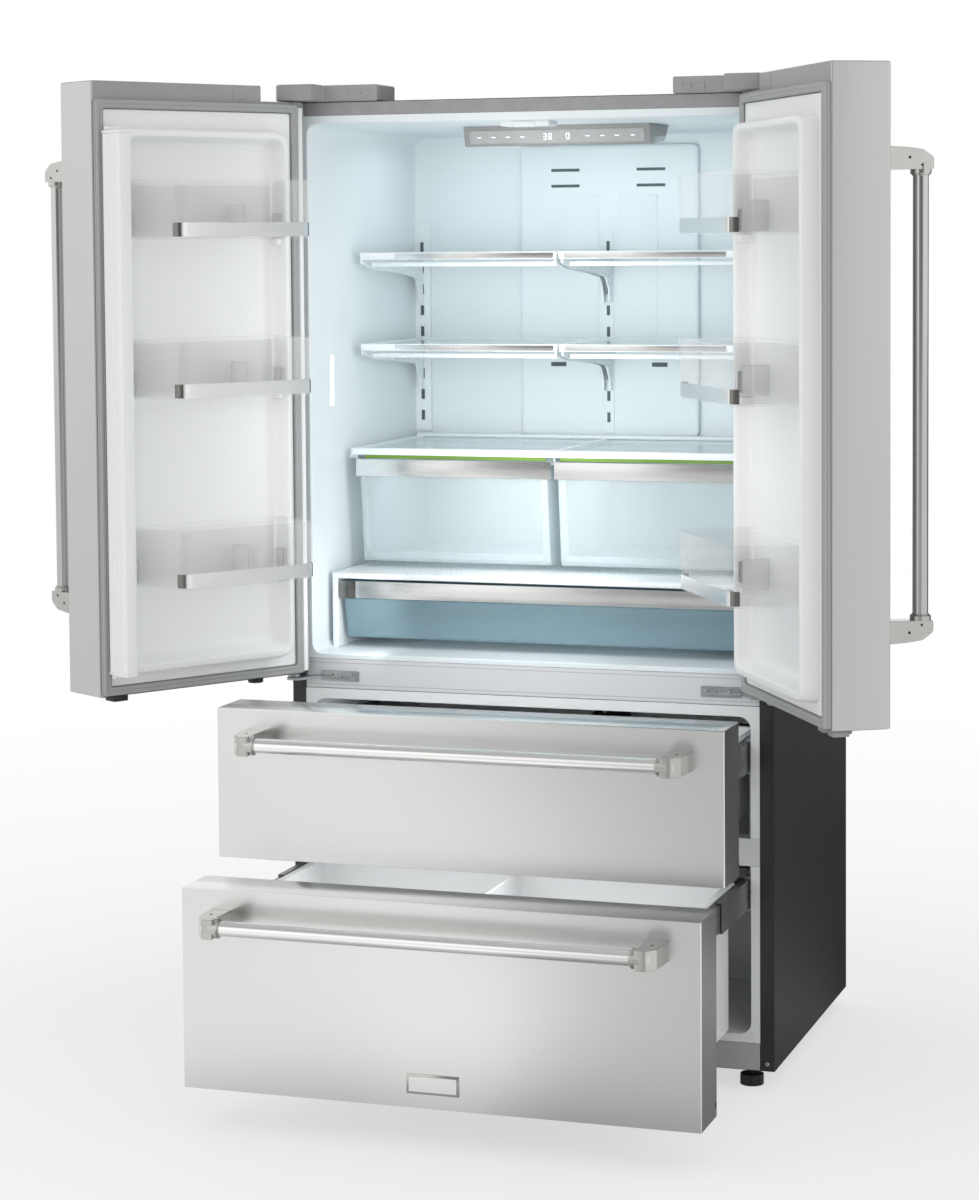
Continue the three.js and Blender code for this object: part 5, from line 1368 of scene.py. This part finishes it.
# name, place and aim in metres, watts, size
addLamp("keyLamp", (-2.4, -3.4, 2.9), (0, 0, 0.9), 22, (2.6, 2.6))
addLamp("fillLamp", (3.0, -3.2, 1.7), (0, 0, 0.9), 10.5, (2.4, 2.6))
addLamp("frontRoomLamp", (0, frontY - 1.5, 1.25), (0, frontY + 0.5, 1.15), 1.35, (0.5, 0.7),
        (0.96, 0.99, 1.0), 48)
addLamp("leftWallLamp", (0.1, frontY - 0.02, 1.27), (-0.4, frontY + 0.2, 1.2), 1.05, (0.12, 0.72), softWhite)
addLamp("rightWallLamp", (-0.1, frontY - 0.02, 1.27), (0.4, frontY + 0.2, 1.2), 0.6, (0.12, 0.72), softWhite)
addLamp("freezerLamp", (0, frontY + 0.02, 0.655), (0, frontY - 0.05, 0.2), 0.5, (0.6, 0.1))
addLamp("basketLamp", (0, frontY - 0.22, 0.432), (0, frontY - 0.2, 0.1), 0.8, (0.7, 0.16))
addLamp("ceilingLamp", (0, frontY + 0.33, 1.695), (0, frontY + 0.36, 1.2), 0.55, (0.7, 0.2),
        (0.85, 0.97, 1.0))
addLamp("crisperLampLeft", (-0.2, frontY + 0.3, 1.082), (-0.2, frontY + 0.4, 0.9), 0.2, (0.3, 0.14), paleBlue)
addLamp("crisperLampRight", (0.2, frontY + 0.3, 1.082), (0.2, frontY + 0.4, 0.9), 0.15, (0.3, 0.14), paleBlue)
addLamp("deliLamp", (0, frontY + 0.2, 0.868), (0, frontY + 0.2, 0.7), 0.22, (0.6, 0.2), (0.9, 0.98, 1.0))
addLamp("lowWallLamp", (-0.28, frontY - 0.01, 0.84), (-0.412, frontY + 0.04, 0.83), 0.12, (0.05, 0.16),
        softWhite)

# centre in metres with its y from the flange plane, turns in degrees, lens in millimetres,
# shifts as shares of the frame's height
view = {"centre": (1.60808, -5.02561, 1.50120), "yaw": -18.466, "pitch": 3.477, "roll": -0.433,
        "lens": 88.5654, "shiftX": 0.00119167, "shiftY": -0.15}


def buildCamera():
    v = view
    yaw, pitch, roll = (math.radians(v[k]) for k in ("yaw", "pitch", "roll"))
    ahead = Vector((math.sin(yaw) * math.cos(pitch), math.cos(yaw) * math.cos(pitch), -math.sin(pitch)))
    level = Vector((math.cos(yaw), -math.sin(yaw), 0))
    rise = level.cross(ahead)
    right = level * math.cos(roll) + rise * math.sin(roll)
    up = rise * math.cos(roll) - level * math.sin(roll)
    data = bpy.data.cameras.new("studioCamera")
    data.sensor_fit = "AUTO"
    data.sensor_width = 36
    data.lens = v["lens"]
    data.shift_x, data.shift_y = v["shiftX"], v["shiftY"]
    data.clip_start, data.clip_end = 0.1, 100
    camera = bpy.data.objects.new("studioCamera", data)
    bpy.context.collection.objects.link(camera)
    turn = Matrix((right, up, -ahead)).transposed().to_4x4()
    place = Vector(v["centre"])
    place.y += flangeY * 0.001
    camera.matrix_world = Matrix.Translation(place) @ turn
    scene.camera = camera


buildCamera()

bpy.context.view_layer.update()
print("done")
